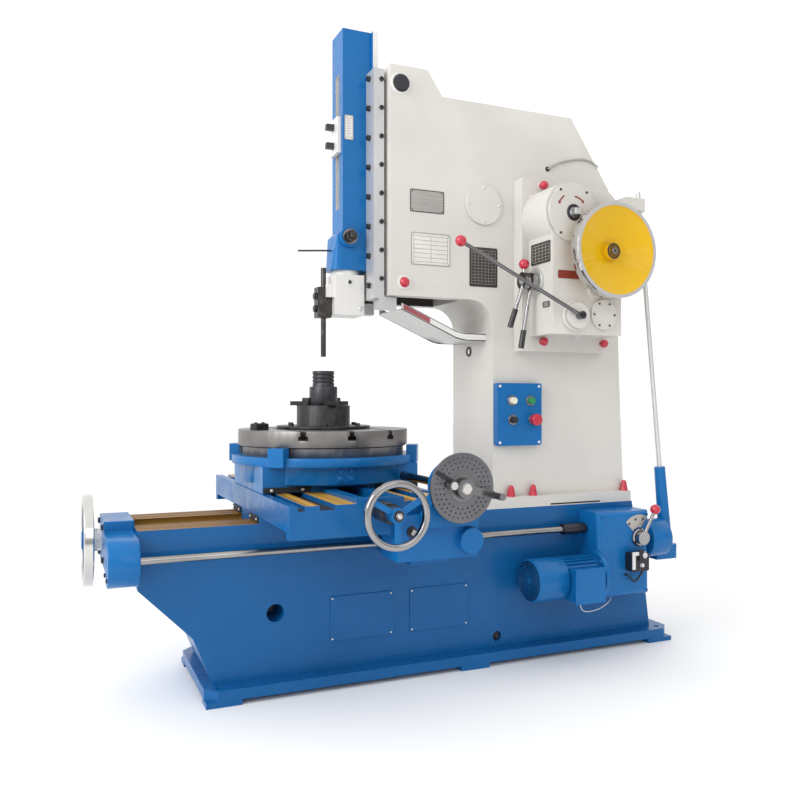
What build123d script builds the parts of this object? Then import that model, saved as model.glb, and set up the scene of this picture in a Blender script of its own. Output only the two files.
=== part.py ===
"""Vertical slotting machine: bed, column, ram, saddle, cross slide, rotary table and drives.

Millimetres. Origin at the centre of the base footprint on the floor, +Z up, +X from the
work space toward the column, -Y is the side with the gearbox and the operating levers.
"""
import os
from math import cos, pi, radians, sin

from build123d import *

# fits
running_clearance = 0.05
slide_clearance = 0.1
free_clearance = 1.0
belt_clearance = 0.4

# bed
flange_half_length = 960.0
flange_half_width = 265.0
flange_top = 54.0
flange_corner = 40.0
pad_height = 18.0
pad_length = 118.0
pad_width = 70.0
pad_inset = 10.0
foundation_x = 910.0
foundation_mid_x = 32.0
foundation_y = 229.0
foundation_radius = 11.0
bed_half_width = 203.0
ways_top = 582.0
bed_left = -1166.0
bed_left_knee = (bed_left, 391.0)
bed_left_waist = (-991.0, 216.0)
bed_left_foot = -924.0
bed_right_top = 805.0
bed_right_waist = (866.0, 282.0)
bed_right_foot = 896.0
bed_wall = 26.0
channel_half_width = 70.0
channel_floor = 490.0
channel_end = 95.0
lifting_hole_x = -714.0
lifting_hole_z = 273.0
lifting_hole_radius = 31.0
lifting_tube_radius = 52.0
drain_x = 158.0
drain_z = 93.0
drain_radius = 19.0
drain_depth = 14.0

# long lead screw, its bracket and handwheel
long_screw_z = 531.0
long_screw_radius = 18.0
long_journal_radius = 15.0
long_screw_tail = 40.0
bracket_length = 96.0
bracket_left = bed_left - bracket_length
bracket_half_width = 112.0
bracket_bottom = 452.0
bracket_top = 605.0
bracket_boss_radius = 76.0
long_dial_length = 27.0
long_wheel_thickness = 36.0
long_wheel_right = bracket_left - long_dial_length
long_wheel_left = long_wheel_right - long_wheel_thickness
screw_end_inset = 2.0
long_wheel_radius = 154.0
long_wheel_rim = 8.0
long_rim_width = 32.0
long_rim_corner = 5.0
long_spoke_turn = 90.0
long_wheel_hub_radius = 30.0
long_dial_radius = 37.0
spoke_radius = 9.0

# feed shaft, feed box and feed motor
feed_shaft_stand = 42.0
feed_shaft_y = -bed_half_width - feed_shaft_stand
feed_shaft_z = 493.0
feed_shaft_radius = 12.5
feed_shaft_end_inset = 7.0
feed_shaft_left = bracket_left + feed_shaft_end_inset
coupling_left = 428.0
coupling_right = 528.0
coupling_radius = 21.0
feed_box_left = 540.0
feed_box_right = 790.0
feed_box_depth = 127.0
feed_box_front = -bed_half_width - feed_box_depth
feed_box_bottom = 225.0
feed_box_top = 560.0
feed_box_fillet = 22.0
feed_entry_depth = 40.0
feed_motor_stand = 105.0
feed_motor_y = -bed_half_width - feed_motor_stand
feed_motor_z = 320.0
feed_motor_left = 234.0
cowl_radius = 81.0
cowl_right = 366.0
cowl_wall = 4.0
cowl_fillet = 10.0
cowl_inner_end = 332.0
grille_slots = 10
grille_slot_length = 40.0
grille_slot_width = 9.0
grille_slot_radius = 44.0
frame_radius = 70.0
frame_right = 510.0
fin_radius = 79.0
fin_count = 28
fin_thickness = 3.0
fin_root = 2.0
motor_flange_radius = 95.0
motor_flange_thickness = 18.0
rotor_radius = 10.0
fan_left = 262.0
fan_width = 40.0
fan_radius = 68.0
fan_blades = 7
fan_blade_thickness = 4.0
terminal_left = 372.0
terminal_right = 494.0
terminal_bottom = 246.0
terminal_top = 366.0
terminal_reach = 110.0
terminal_front = feed_motor_y - terminal_reach
terminal_root = 42.0
terminal_back = feed_motor_y - terminal_root
terminal_lid = 6.0
shift_x = 735.0
shift_z = 455.0
shift_ball_x = 797.0
shift_ball_z = 565.0
shift_shaft_radius = 12.0
shift_shaft_depth = 36.0
shift_hub_radius = 27.0
shift_hub_gap = 16.0
shift_hub_back = feed_box_front - shift_hub_gap
shift_hub_length = 18.0
shift_hub_front = shift_hub_back - shift_hub_length
handle_radius = 7.0
ball_radius = 20.0
switch_left = 668.0
switch_right = 752.0
switch_bottom = 328.0
switch_top = 400.0
switch_depth = 42.0
switch_front = feed_box_front - switch_depth
switch_corner = 6.0
switch_head_inset = 30.0
switch_head_proud = 8.0
switch_head_rise = 14.0

# feed push rod
push_rod_stand = 47.0
push_rod_y = -bed_half_width - push_rod_stand
push_rod_radius = 9.5
push_low = (932.0, 510.0)
push_high = (801.0, 1824.0)
push_rod_foot = 470.0
sleeve_top = 724.0
sleeve_bottom = 386.0
sleeve_top_radius = 22.0
sleeve_bottom_radius = 27.0
ratchet_right = 884.0
ratchet_stand = 79.0
ratchet_y = -bed_half_width - ratchet_stand
ratchet_z = 440.0
ratchet_radius = 76.0
ratchet_foot_right = 978.0
ratchet_foot_half_width = 38.0
ratchet_foot_bottom = 346.0
ratchet_foot_top = 404.0
ratchet_foot_lap = 20.0
ratchet_foot_corner = 20.0
rod_bracket_left = 690.0
rod_bracket_bottom = 1776.0
rod_bracket_top = 1826.0
rod_bracket_front = -206.0
rod_bush_radius = 24.0
rod_bracket_gap = 4.0
rod_arm_lap = 30.0
rod_arm_depth = 20.0
rod_top_reach = 30.0
rod_bore_reach = 50.0
rod_bore_drop = 40.0

# column
column_half_width = 168.0
column_front = 160.0
column_foot_left = 105.0
column_foot_right = 800.0
column_foot_top = 625.0
overhang_front = -273.0
overhang_bottom = 1389.0
overhang_fillet = 100.0
head_front_top = 2242.0
head_step_x = -121.0
head_step_foot_x = -59.0
head_step_height = 92.0
head_top = head_front_top - head_step_height
head_rear_x = 526.0
rear_shoulder = (694.0, 1903.0)
rear_knee = (750.0, 1815.0)
rear_waist = (766.0, 1166.0)
rear_foot_x = 790.0
cavity_half_width = 118.0
column_wall = 44.0
mouth_floor_rear = 40.0
foot_bolt_x = (231.0, 332.0, 777.0)
foot_bolt_y = 187.0
foot_bolt_radius = 10.0
foot_bolt_depth = 48.0
cap_radius = 17.0
cap_height = 44.0
cap_tip_radius = 11.0

# drip tray
tray_thickness = 3.0
tray_half_width = 114.0
tray_tip = (-204.0, 1346.0)
tray_low = (46.0, 1236.0)
tray_flange_height = 40.0
tray_flange_top = tray_low[1] + tray_flange_height
tray_side_height = 25.0
tray_bend = 300.0

# gearbox on the column
gearbox_flange_left = 256.0
gearbox_flange_right = 665.0
gearbox_flange_bottom = 1192.0
gearbox_flange_top = 1865.0
gearbox_flange_front = -227.0
gearbox_left = 290.0
gearbox_right = 605.0
gearbox_bottom = 1249.0
gearbox_top = 1795.0
gearbox_front = -385.0
gearbox_wall = 22.0
gearbox_chamfer = 50.0
crank_x = 375.0
crank_z = 1704.0
stroke_boss_radius = 118.0
stroke_cover_radius = 110.0
cover_thickness = 12.0
clutch_x = 387.0
clutch_z = 1317.0
clutch_boss_radius = 57.0
clutch_boss_thickness = 16.0
end_cover_x = 516.0
end_cover_z = 1327.0
end_cover_radius = 58.0
gear_cap_inset_left = 89.0
gear_cap_inset_right = 33.0
gear_cap_inset_low = 38.0
gear_cap_inset_high = 25.0
gear_cap_left = gearbox_flange_left + gear_cap_inset_left
gear_cap_right = gearbox_flange_right - gear_cap_inset_right
gear_cap_low = gearbox_flange_bottom + gear_cap_inset_low
gear_cap_high = gearbox_flange_top - gear_cap_inset_high
gear_cap_spots = (
    (gear_cap_left, gear_cap_high),
    (gear_cap_left, gear_cap_low),
    (gear_cap_right, gear_cap_low),
)
input_pad_left_reach = 60.0
input_pad_right_reach = 90.0
input_pad_drop = 165.0
input_pad_rise = 30.0
input_pad_corner = 29.0
input_pad_thickness = 12.0
gear_cap_radius = 17.0
gear_cap_neck = 12.0
gear_cap_stand = 18.0

# main drive
gear_module = 4.0
gear_teeth = 81
pinion_teeth = 17
mesh_angle = -48.3
tooth_share = 0.36
tooth_tip_share = 0.24
tooth_root_depth = 1.3
tooth_tip_height = 0.8
tooth_sink = 1.0
gear_back = -76.0
gear_front = -112.0
crank_shaft_radius = 40.0
crank_nose_radius = 20.0
crank_nose_start = -240.0
stroke_square = 24.0
stroke_square_front = -426.0
crank_disc_radius = 150.0
crank_disc_back = -60.0
pin_radius_on_disc = 104.0
pin_block_size = 44.0
pin_block_back = -37.0
input_radius = 25.0
input_front = -462.0
input_tail = 146.0
pinion_back = -72.0
flywheel_radius = 178.0
flywheel_front = -490.0
flywheel_rim_width = 43.0
flywheel_rim_thickness = 13.0
flywheel_lip = 3.0
flywheel_web = 10.0
flywheel_dish_depth = 52.0
flywheel_hub_radius = 42.0
flywheel_hub_back = -412.0
hub_nose_radius = 30.0
hub_plate_thickness = 4.0
hub_pin_radius = 13.0
hub_pin_front = -474.0
pulley_front = 66.0
pulley_back = 112.0
driven_pulley_radius = 150.0
motor_pulley_radius = 60.0
motor_x = 480.0
motor_z = 760.0
motor_radius = 105.0
motor_front = -112.0
motor_back = 54.0
motor_shaft_radius = 19.0
motor_foot_half_width = 90.0
belt_count = 3
belt_width = 9.0
belt_pitch = 14.0
belt_thickness = 8.0

# rocker arm
rocker_x = 116.0
rocker_z = 1757.0
rocker_half_thickness = 30.0
rocker_shaft_radius = 30.0
rocker_hub_radius = 72.0
rocker_front_reach = 336.0
rocker_front_half = 38.0
rocker_rear_reach = 392.0
rocker_rear_half = 46.0
rocker_slot_inner = 136.0
rocker_slot_outer = 366.0
rocker_slot_half = 24.0
rocker_rest_angle = 4.2

# levers on the gearbox
selector_y = -278.0
selector_z = 1455.0
selector_ring_radius = 50.0
selector_ring_thickness = 12.0
selector_pin_radius = 12.0
selector_pin_end = 216.0
selector_hub_radius = 33.0
upper_hub_left = 222.0
upper_hub_right = 244.0
upper_handle_drop = 178.0
upper_handle_lean = 62.0
upper_ball_rise = 64.0
lower_hub_left = 254.0
lower_hub_right = 276.0
lower_handle_drop = 256.0
lower_handle_lean = 46.0
grip_radius = 11.0
grip_length = 68.0
clutch_shaft_radius = 12.0
clutch_shaft_depth = 30.0
clutch_disc_radius = 48.0
clutch_disc_thickness = 10.0
clutch_hub_radius = 15.0
clutch_hub_back = -404.0
clutch_hub_front = -440.0
clutch_ball_x = -116.0
clutch_ball_z = 1554.0
clutch_rod_y = -425.0

# control panel
panel_left = 163.0
panel_right = 365.0
panel_bottom = 824.0
panel_top = 1068.0
panel_front = -198.0
panel_fillet = 8.0
collar_radius = 20.0
collar_height = 6.0
button_radius = 13.0
button_proud = 16.0
button_depth = 16.0
button_travel = 5.0
button_end_gap = 1.0
lamp_x = 228.0
green_x = 311.0
black_x = 231.0
stop_x = 323.0
upper_row_z = 1000.0
lower_row_z = 925.0
stop_head_radius = 23.0
stop_stem_radius = 10.0
stop_head_round = 5.0

# ram guide
guide_hang = 11.0
guide_bottom = overhang_bottom - guide_hang
guide_top_drop = 13.0
guide_top = head_front_top - guide_top_drop
guide_half_width = 140.0
rail_inner = 80.0
rail_back = -286.0
rail_front = -307.0
keeper_front = -327.0
keeper_inner = 61.0
web_back = -240.0
web_half_width = 112.0
web_bottom_rise = 18.0
web_bottom = guide_bottom + web_bottom_rise
web_top_gap = 8.0
web_top = head_front_top - column_wall - web_top_gap
web_slot_half = 36.0
guide_foot_height = 44.0
guide_foot_lap = 6.0
guide_foot_top = guide_bottom + guide_foot_lap
guide_foot_bottom = guide_foot_top - guide_foot_height
guide_foot_back = -236.0
guide_foot_inner = 86.0
pivot_x = -216.0
pivot_rise = 50.0
pivot_z = overhang_bottom + pivot_rise
pivot_radius = 19.5
pivot_lug_half = 38.0
keeper_bolt_y = 100.0
keeper_bolt_count = 8
keeper_margin_low = 51.0
keeper_margin_high = 30.0
keeper_bolt_low = guide_bottom + keeper_margin_low
keeper_bolt_pitch = (guide_top - keeper_margin_high - keeper_bolt_low) / (keeper_bolt_count - 1)
keeper_bolt_head = 11.0
keeper_bolt_height = 12.0
keeper_bolt_shank = 5.0
keeper_bolt_end_gap = 2.0

# ram
ram_front = -420.0
ram_half_width = 60.0
ram_bottom = 1490.0
ram_top = 2391.0
ram_nose_front = -457.0
ram_nose_round = 38.0
ram_ledge_front = -440.0
ram_ledge_round = 3.0
ram_nose_top = 1618.0
ram_nose_run = 1640.0
ram_slot_half = 20.0
ram_slot_bottom = 1724.0
ram_slot_top = 2232.0
ram_slot_depth = 62.0
ram_lug_back = -252.0
ram_lug_half = 28.0
ram_lug_z = 1782.0
ram_lug_height = 96.0
ram_lug_gap = 10.0
ram_stroke_down = 190.0
ram_stroke_up = 130.0
web_slot_bottom = ram_lug_z - ram_lug_height / 2 - ram_stroke_down - ram_lug_gap
web_slot_top = ram_lug_z + ram_lug_height / 2 + ram_stroke_up + ram_lug_gap
ram_screw_x = -390.0
ram_screw_radius = 12.0
ram_screw_bottom = 1650.0
adjust_x = -395.0
adjust_z = 1612.0
adjust_radius = 21.0
adjust_boss_radius = 39.0
adjust_boss_y = -72.0
adjust_front = -108.0
adjust_depth = -20.0
adjust_square = 22.0
adjust_square_length = 14.0
clamp_bottom = 1930.0
clamp_top = 2065.0
clamp_half_width = 44.0
clamp_front = -436.0
clamp_bolt_rise = 35.0
clamp_bolt_front = -466.0
clamp_bolt_size = 22.0

# tool
tool_head_front = -449.0
tool_head_back = -333.0
tool_head_half = 58.0
tool_head_bottom = 1320.0
head_neck_radius = 54.0
head_neck_height = 18.0
tool_x = -476.0
tool_bar_radius = 10.0
tool_bar_bottom = 1165.0
tool_bar_top = 1500.0
holder_front = -505.0
holder_back = -452.0
holder_half = 24.0
holder_bottom = 1311.0
holder_top = 1425.0
clapper_x = -458.5
clapper_z = 1410.0
clapper_radius = 6.0
ear_inner = 26.0
ear_outer = 48.0
ear_front = -476.0
ear_half_height = 24.0

# saddle
table_x = -476.0
saddle_half_length = 294.0
saddle_half_width = 572.0
saddle_top = 683.0
wing_bottom = 603.0
lip_bottom = 581.0
lip_width = 32.0
tongue_bottom = 562.0
long_nut_half_length = 60.0
long_nut_half_width = 42.0
long_nut_bottom = 502.0
cross_guide_half = 81.0
cross_guide_top = 697.0
saddle_groove_depth = 15.0
outer_way_inner = 197.0
outer_way_outer = 243.0
inner_way_outer = 147.0
rim_inner = 266.0
cross_channel_half = 44.0
cross_channel_floor = 622.0
cross_channel_end = 530.0

# cross screw and handwheel
cross_screw_z = 658.0
cross_screw_radius = 15.0
cross_journal_radius = 12.0
cross_tail_length = 26.0
cross_tail = cross_channel_end + cross_tail_length
cross_dial_radius = 31.0
cross_dial_front = -652.0
cross_wheel_front = -716.0
cross_wheel_back = -692.0
cross_wheel_radius = 106.0
cross_wheel_rim = 11.0
cross_rim_corner = 9.0
cross_spoke_turn = 270.0
cross_wheel_hub_radius = 24.0

# cross slide
cross_half_length = 288.0
cross_half_width = 223.0
cross_body_top = 774.0
cross_drum_radius = 306.0
cross_drum_bottom = 712.0
cross_pad_shift = 21.0
cross_pad_half = 32.0
cross_pad_bottom = 720.0
cross_pad_proud = 4.0
cross_flange_radius = 338.0
cross_flange_top = 804.0
cross_lug_radius = 356.0
cross_lug_top = 838.0
cross_lug_width = 60.0
cross_lug_angles = (-30.0, 150.0, -135.0)
table_rim_gap = 3.0
wheel_well_radius = 212.0
wheel_well_floor = 709.0
cross_nut_half = 38.0
cross_nut_half_width = 60.0
cross_nut_bottom = 636.0

# index gear
index_x = -243.0
index_z = 728.0
index_shaft_radius = 14.0
index_shaft_tail = 380.0
index_bracket_back = -590.0
index_bracket_front = -640.0
index_bracket_radius = 80.0
index_bracket_left = -350.0
index_bracket_right = -165.0
index_plate_radius = 110.0
index_plate_back = -668.0
index_plate_front = -678.0
index_hub_radius = 30.0
index_hole_rows = (66.0, 80.0, 94.0)
index_hole_counts = (24, 30, 36)
index_hole_radius = 2.6
crank_arm_back = -682.0
crank_arm_front = -696.0
crank_arm_radius = 104.0
crank_arm_angle = -14.0
crank_arm_width = 26.0
crank_hub_proud = 10.0
crank_knob_front = -752.0
crank_knob_radius = 11.0
plunger_radius_on_arm = 52.0
plunger_radius = 12.0
plunger_front = -722.0
worm_radius = 30.0
worm_half_length = 70.0
worm_hub_radius = 20.0
worm_hub_half_length = 110.0
worm_chamber_radius = 36.0
worm_chamber_half = 76.0

# apron
apron_left = -430.0
apron_right = -145.0
apron_front = -600.0
apron_bottom = 495.0
apron_top = 640.0
apron_rear = -470.0
apron_neck_left = -330.0
apron_neck_right = -190.0
apron_neck_gap = 9.0
apron_neck_rear = -bed_half_width - apron_neck_gap
apron_neck_bottom = 455.0
apron_boss_x = -181.0
apron_boss_z = 551.0
apron_boss_radius = 41.0
apron_boss_front = -628.0

# table
table_radius = 315.0
table_top = 895.0
table_band_bottom = 839.0
table_skirt_radius = 300.0
table_boss_radius = 90.0
table_boss_bottom = 713.0
table_bore = 34.0
worm_wheel_radius = 199.0
worm_wheel_bottom = 713.0
worm_wheel_top = 743.0
t_slot_width = 18.0
t_slot_head_width = 30.0
t_slot_neck_depth = 18.0
t_slot_head_depth = 14.0
t_slot_pitch = 160.0
t_slot_angle = 0.0

# chuck and work
chuck_plate_radius = 175.0
chuck_plate_top = 907.0
chuck_radius = 100.0
chuck_top = 982.0
chuck_bore = 30.0
jaw_top = 1011.0
jaw_outer = 124.0
jaw_width = 36.0
jaw_step = 78.0
jaw_step_top = 998.0
jaw_angles = (-90.0, 30.0, 150.0)
jaw_grip_gap = 0.3
work_radius = 52.5
work_collar_top = 1052.0
work_upper_radius = 41.0
work_top = 1111.0
work_bore = 26.0
work_groove_radius = 38.0
work_groove_pitch = 14.0
work_groove_width = 3.0
work_groove_count = 3

# access covers
bed_cover_left = -518.0
bed_cover_pitch = 307.0
bed_cover_count = 2
bed_cover_length = 240.0
bed_cover_bottom = 152.0
bed_cover_top = 310.0
bed_cover_thickness = 4.0
round_cover_radius = 78.0
round_cover_thickness = 10.0
head_cap_x = -231.0
head_cap_drop = 68.0
head_cap_z = head_front_top - head_cap_drop
head_cap_radius = 32.0


def block(x_low, x_high, y_low, y_high, z_low, z_high, mode=Mode.ADD):
    """Add or cut a block given by its limits."""
    with Locations(((x_low + x_high) / 2, (y_low + y_high) / 2, (z_low + z_high) / 2)):
        Box(x_high - x_low, y_high - y_low, z_high - z_low, mode=mode)


def bar_x(x_low, x_high, y, z, radius, mode=Mode.ADD):
    """Add or cut a round bar along X."""
    with Locations(((x_low + x_high) / 2, y, z)):
        Cylinder(radius, x_high - x_low, rotation=(0, 90, 0), mode=mode)


def bar_y(y_low, y_high, x, z, radius, mode=Mode.ADD):
    """Add or cut a round bar along Y."""
    with Locations((x, (y_low + y_high) / 2, z)):
        Cylinder(radius, y_high - y_low, rotation=(90, 0, 0), mode=mode)


def bar_z(z_low, z_high, x, y, radius, mode=Mode.ADD):
    """Add or cut a round bar along Z."""
    with Locations((x, y, (z_low + z_high) / 2)):
        Cylinder(radius, z_high - z_low, mode=mode)


def bar_between(start, end, radius, mode=Mode.ADD):
    """Add or cut a round bar between two points."""
    first = Vector(*start)
    run = Vector(*end) - first
    with Locations(Plane(origin=first, z_dir=run)):
        Cylinder(radius, run.length, align=(Align.CENTER, Align.CENTER, Align.MIN), mode=mode)


def ball(x, y, z, radius):
    """Add a ball."""
    with Locations((x, y, z)):
        Sphere(radius)


def ball_lever(knob, hub, rod_radius, knob_radius):
    """Add a round rod from a hub's centre with a ball on its free end."""
    knob_centre = Vector(*knob)
    run = Vector(*hub) - knob_centre
    with Locations(Plane(origin=knob_centre, z_dir=run)):
        Sphere(knob_radius)
        Cylinder(rod_radius, run.length, align=(Align.CENTER, Align.CENTER, Align.MIN))


def push_line(z):
    """X of the feed push rod's axis at a height."""
    run = (push_high[0] - push_low[0]) / (push_high[1] - push_low[1])
    return push_low[0] + (z - push_low[1]) * run


os.makedirs("parts", exist_ok=True)

# frame

with BuildPart() as bed_casting:
    with BuildSketch(Plane.XZ):
        with BuildLine():
            Polyline(
                (bed_left, ways_top),
                bed_left_knee,
                bed_left_waist,
                (bed_left_foot, flange_top),
                (bed_right_foot, flange_top),
                bed_right_waist,
                (bed_right_top, ways_top),
                close=True,
            )
        make_face()
    extrude(amount=bed_half_width, both=True)
    with BuildSketch(Plane.XZ) as void_sketch:
        with BuildLine():
            Polyline(
                (bed_left + bed_wall, channel_floor - bed_wall),
                (bed_left + bed_wall, bed_left_knee[1] + bed_wall / 2),
                (bed_left_waist[0] + bed_wall, bed_left_waist[1] + bed_wall / 2),
                (bed_left_foot + 1.5 * bed_wall, flange_top + bed_wall),
                (bed_right_foot - 1.5 * bed_wall, flange_top + bed_wall),
                (bed_right_waist[0] - bed_wall, bed_right_waist[1]),
                (bed_right_waist[0] - 2 * bed_wall, channel_floor - bed_wall),
                close=True,
            )
        make_face()
    extrude(amount=bed_half_width - bed_wall, both=True, mode=Mode.SUBTRACT)
    with BuildSketch(Plane.XY.offset(pad_height)) as flange_sketch:
        Rectangle(2 * flange_half_length, 2 * flange_half_width)
        chamfer(flange_sketch.vertices(), flange_corner)
    extrude(amount=flange_top - pad_height)
    for side in (-1, 1):
        pad_y = side * (flange_half_width - pad_width / 2)
        for pad_x in (-foundation_x + pad_inset, foundation_mid_x, foundation_x - pad_inset):
            with Locations((pad_x, pad_y, pad_height / 2)):
                Box(pad_length, pad_width, pad_height)
        for hole_x in (-foundation_x, foundation_mid_x, foundation_x):
            bar_z(0, flange_top, hole_x, side * foundation_y, foundation_radius, Mode.SUBTRACT)
        for bolt_x in foot_bolt_x:
            bar_z(ways_top - foot_bolt_depth, ways_top, bolt_x, side * foot_bolt_y,
                  foot_bolt_radius, Mode.SUBTRACT)
    block(bed_left, channel_end, -channel_half_width, channel_half_width,
          channel_floor, ways_top, Mode.SUBTRACT)
    bar_x(channel_end, channel_end + long_screw_tail, 0, long_screw_z,
          long_journal_radius + running_clearance, Mode.SUBTRACT)
    bar_y(-bed_half_width + bed_wall / 2, bed_half_width - bed_wall / 2,
          lifting_hole_x, lifting_hole_z, lifting_tube_radius)
    bar_y(-bed_half_width, bed_half_width, lifting_hole_x, lifting_hole_z,
          lifting_hole_radius, Mode.SUBTRACT)
    bar_y(-bed_half_width, -bed_half_width + drain_depth, drain_x, drain_z,
          drain_radius, Mode.SUBTRACT)
bed_casting.part.label = "bed_casting"
export_step(bed_casting.part, "parts/bed_casting.step")

with BuildPart() as left_end_bracket:
    block(bracket_left, bed_left, -bracket_half_width, bracket_half_width,
          bracket_bottom, bracket_top)
    block(bracket_left, bed_left, feed_shaft_y, 0, bracket_bottom, feed_shaft_z + bracket_boss_radius)
    bar_x(bracket_left, bed_left, feed_shaft_y, feed_shaft_z, bracket_boss_radius)
    bar_x(bracket_left, bed_left, 0, long_screw_z,
          long_journal_radius + running_clearance, Mode.SUBTRACT)
    bar_x(bracket_left, bed_left, feed_shaft_y, feed_shaft_z,
          feed_shaft_radius + running_clearance, Mode.SUBTRACT)
left_end_bracket.part.label = "left_end_bracket"
export_step(left_end_bracket.part, "parts/left_end_bracket.step")

pinion_distance = gear_module * (gear_teeth + pinion_teeth) / 2
input_x = crank_x + pinion_distance * cos(radians(mesh_angle))
input_z = crank_z + pinion_distance * sin(radians(mesh_angle))

with BuildPart() as column_casting:
    with BuildSketch(Plane.XZ):
        with BuildLine():
            Polyline(
                (overhang_front, head_front_top),
                (head_step_x, head_front_top),
                (head_step_foot_x, head_top),
                (head_rear_x, head_top),
                rear_shoulder,
                rear_knee,
                rear_waist,
                (rear_foot_x, ways_top),
                (column_front, ways_top),
                (column_front, overhang_bottom - overhang_fillet),
            )
            RadiusArc((column_front, overhang_bottom - overhang_fillet),
                      (column_front - overhang_fillet, overhang_bottom), -overhang_fillet)
            Polyline(
                (column_front - overhang_fillet, overhang_bottom),
                (overhang_front, overhang_bottom),
                (overhang_front, head_front_top),
            )
        make_face()
    extrude(amount=column_half_width, both=True)
    block(column_foot_left, column_foot_right, -bed_half_width, bed_half_width,
          ways_top, column_foot_top)
    with BuildSketch(Plane.XZ) as cavity_sketch:
        with BuildLine():
            Polyline(
                (column_front + column_wall, ways_top),
                (column_front + column_wall, overhang_bottom - overhang_fillet),
                (column_front - overhang_fillet / 2, overhang_bottom + column_wall),
                (mouth_floor_rear, overhang_bottom + column_wall),
                (mouth_floor_rear, overhang_bottom),
                (overhang_front, overhang_bottom),
                (overhang_front, head_front_top - column_wall),
                (head_step_x - column_wall, head_front_top - column_wall),
                (head_step_foot_x - column_wall, head_top - column_wall),
                (head_rear_x - column_wall / 2, head_top - column_wall),
                (rear_shoulder[0] - column_wall, rear_shoulder[1] - column_wall / 2),
                (rear_knee[0] - column_wall, rear_knee[1] - column_wall / 2),
                (rear_waist[0] - column_wall, rear_waist[1]),
                (rear_foot_x - column_wall, ways_top),
                close=True,
            )
        make_face()
    extrude(amount=cavity_half_width, both=True, mode=Mode.SUBTRACT)
    bar_y(-column_half_width, column_half_width, rocker_x, rocker_z,
          rocker_shaft_radius + running_clearance, Mode.SUBTRACT)
    bar_y(-column_half_width, column_half_width, pivot_x, pivot_z, pivot_radius, Mode.SUBTRACT)
    bar_y(-column_half_width, -cavity_half_width, crank_x, crank_z,
          crank_shaft_radius + running_clearance, Mode.SUBTRACT)
    bar_y(-column_half_width, input_tail + free_clearance, input_x, input_z,
          input_radius + running_clearance, Mode.SUBTRACT)
    for side in (-1, 1):
        for bolt_x in foot_bolt_x:
            bar_z(ways_top, column_foot_top, bolt_x, side * foot_bolt_y,
                  foot_bolt_radius, Mode.SUBTRACT)
column_casting.part.label = "column_casting"
export_step(column_casting.part, "parts/column_casting.step")

with BuildPart() as drip_tray:
    with BuildSketch(Plane.XZ):
        with BuildLine():
            FilletPolyline(tray_tip, tray_low, (column_front, tray_low[1]), radius=tray_bend)
            Polyline(
                (column_front, tray_low[1]),
                (column_front, tray_flange_top),
                (column_front - tray_thickness, tray_flange_top),
                (column_front - tray_thickness, tray_low[1] + tray_thickness),
            )
            FilletPolyline(
                (column_front - tray_thickness, tray_low[1] + tray_thickness),
                (tray_low[0], tray_low[1] + tray_thickness),
                (tray_tip[0], tray_tip[1] + tray_thickness),
                radius=tray_bend,
            )
            Line((tray_tip[0], tray_tip[1] + tray_thickness), tray_tip)
        make_face()
    extrude(amount=tray_half_width, both=True)
    for side in (-1, 1):
        with BuildSketch(Plane.XZ.offset(side * tray_half_width)):
            with BuildLine():
                FilletPolyline(tray_tip, tray_low, (column_front, tray_low[1]), radius=tray_bend)
                Line((column_front, tray_low[1]), (column_front, tray_low[1] + tray_side_height))
                FilletPolyline(
                    (column_front, tray_low[1] + tray_side_height),
                    (tray_low[0], tray_low[1] + tray_side_height),
                    (tray_tip[0], tray_tip[1] + tray_side_height),
                    radius=tray_bend,
                )
                Line((tray_tip[0], tray_tip[1] + tray_side_height), tray_tip)
            make_face()
        extrude(amount=-side * tray_thickness)
drip_tray.part.label = "drip_tray"
export_step(drip_tray.part, "parts/drip_tray.step")

with BuildPart() as gearbox_housing:
    block(gearbox_flange_left, gearbox_flange_right, gearbox_flange_front, -column_half_width,
          gearbox_flange_bottom, gearbox_flange_top)
    with BuildSketch(Plane.XZ.offset(-gearbox_flange_front)) as box_sketch:
        with BuildLine():
            Polyline(
                (gearbox_left, gearbox_bottom),
                (gearbox_right, gearbox_bottom),
                (gearbox_right, gearbox_top - gearbox_chamfer),
                (gearbox_right - gearbox_chamfer, gearbox_top),
                (gearbox_left, gearbox_top),
                close=True,
            )
        make_face()
        with Locations((crank_x, crank_z)):
            Circle(stroke_boss_radius)
    extrude(amount=gearbox_flange_front - gearbox_front)
    with BuildSketch(Plane.XZ.offset(-gearbox_front)):
        with Locations((input_x + (input_pad_right_reach - input_pad_left_reach) / 2,
                        input_z + (input_pad_rise - input_pad_drop) / 2)):
            RectangleRounded(input_pad_left_reach + input_pad_right_reach,
                             input_pad_drop + input_pad_rise, input_pad_corner)
    extrude(amount=input_pad_thickness)
    block(gearbox_left + gearbox_wall, gearbox_right - gearbox_wall,
          gearbox_front + gearbox_wall, -column_half_width,
          gearbox_bottom + gearbox_wall, gearbox_top - gearbox_chamfer, Mode.SUBTRACT)
    bar_y(gearbox_front, gearbox_front + gearbox_wall, crank_x, crank_z,
          crank_nose_radius + free_clearance, Mode.SUBTRACT)
    bar_y(gearbox_front - input_pad_thickness, gearbox_front + gearbox_wall, input_x, input_z,
          input_radius + running_clearance, Mode.SUBTRACT)
    bar_y(gearbox_front, gearbox_front + gearbox_wall, clutch_x, clutch_z,
          clutch_shaft_radius + running_clearance, Mode.SUBTRACT)
gearbox_housing.part.label = "gearbox_housing"
export_step(gearbox_housing.part, "parts/gearbox_housing.step")

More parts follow.
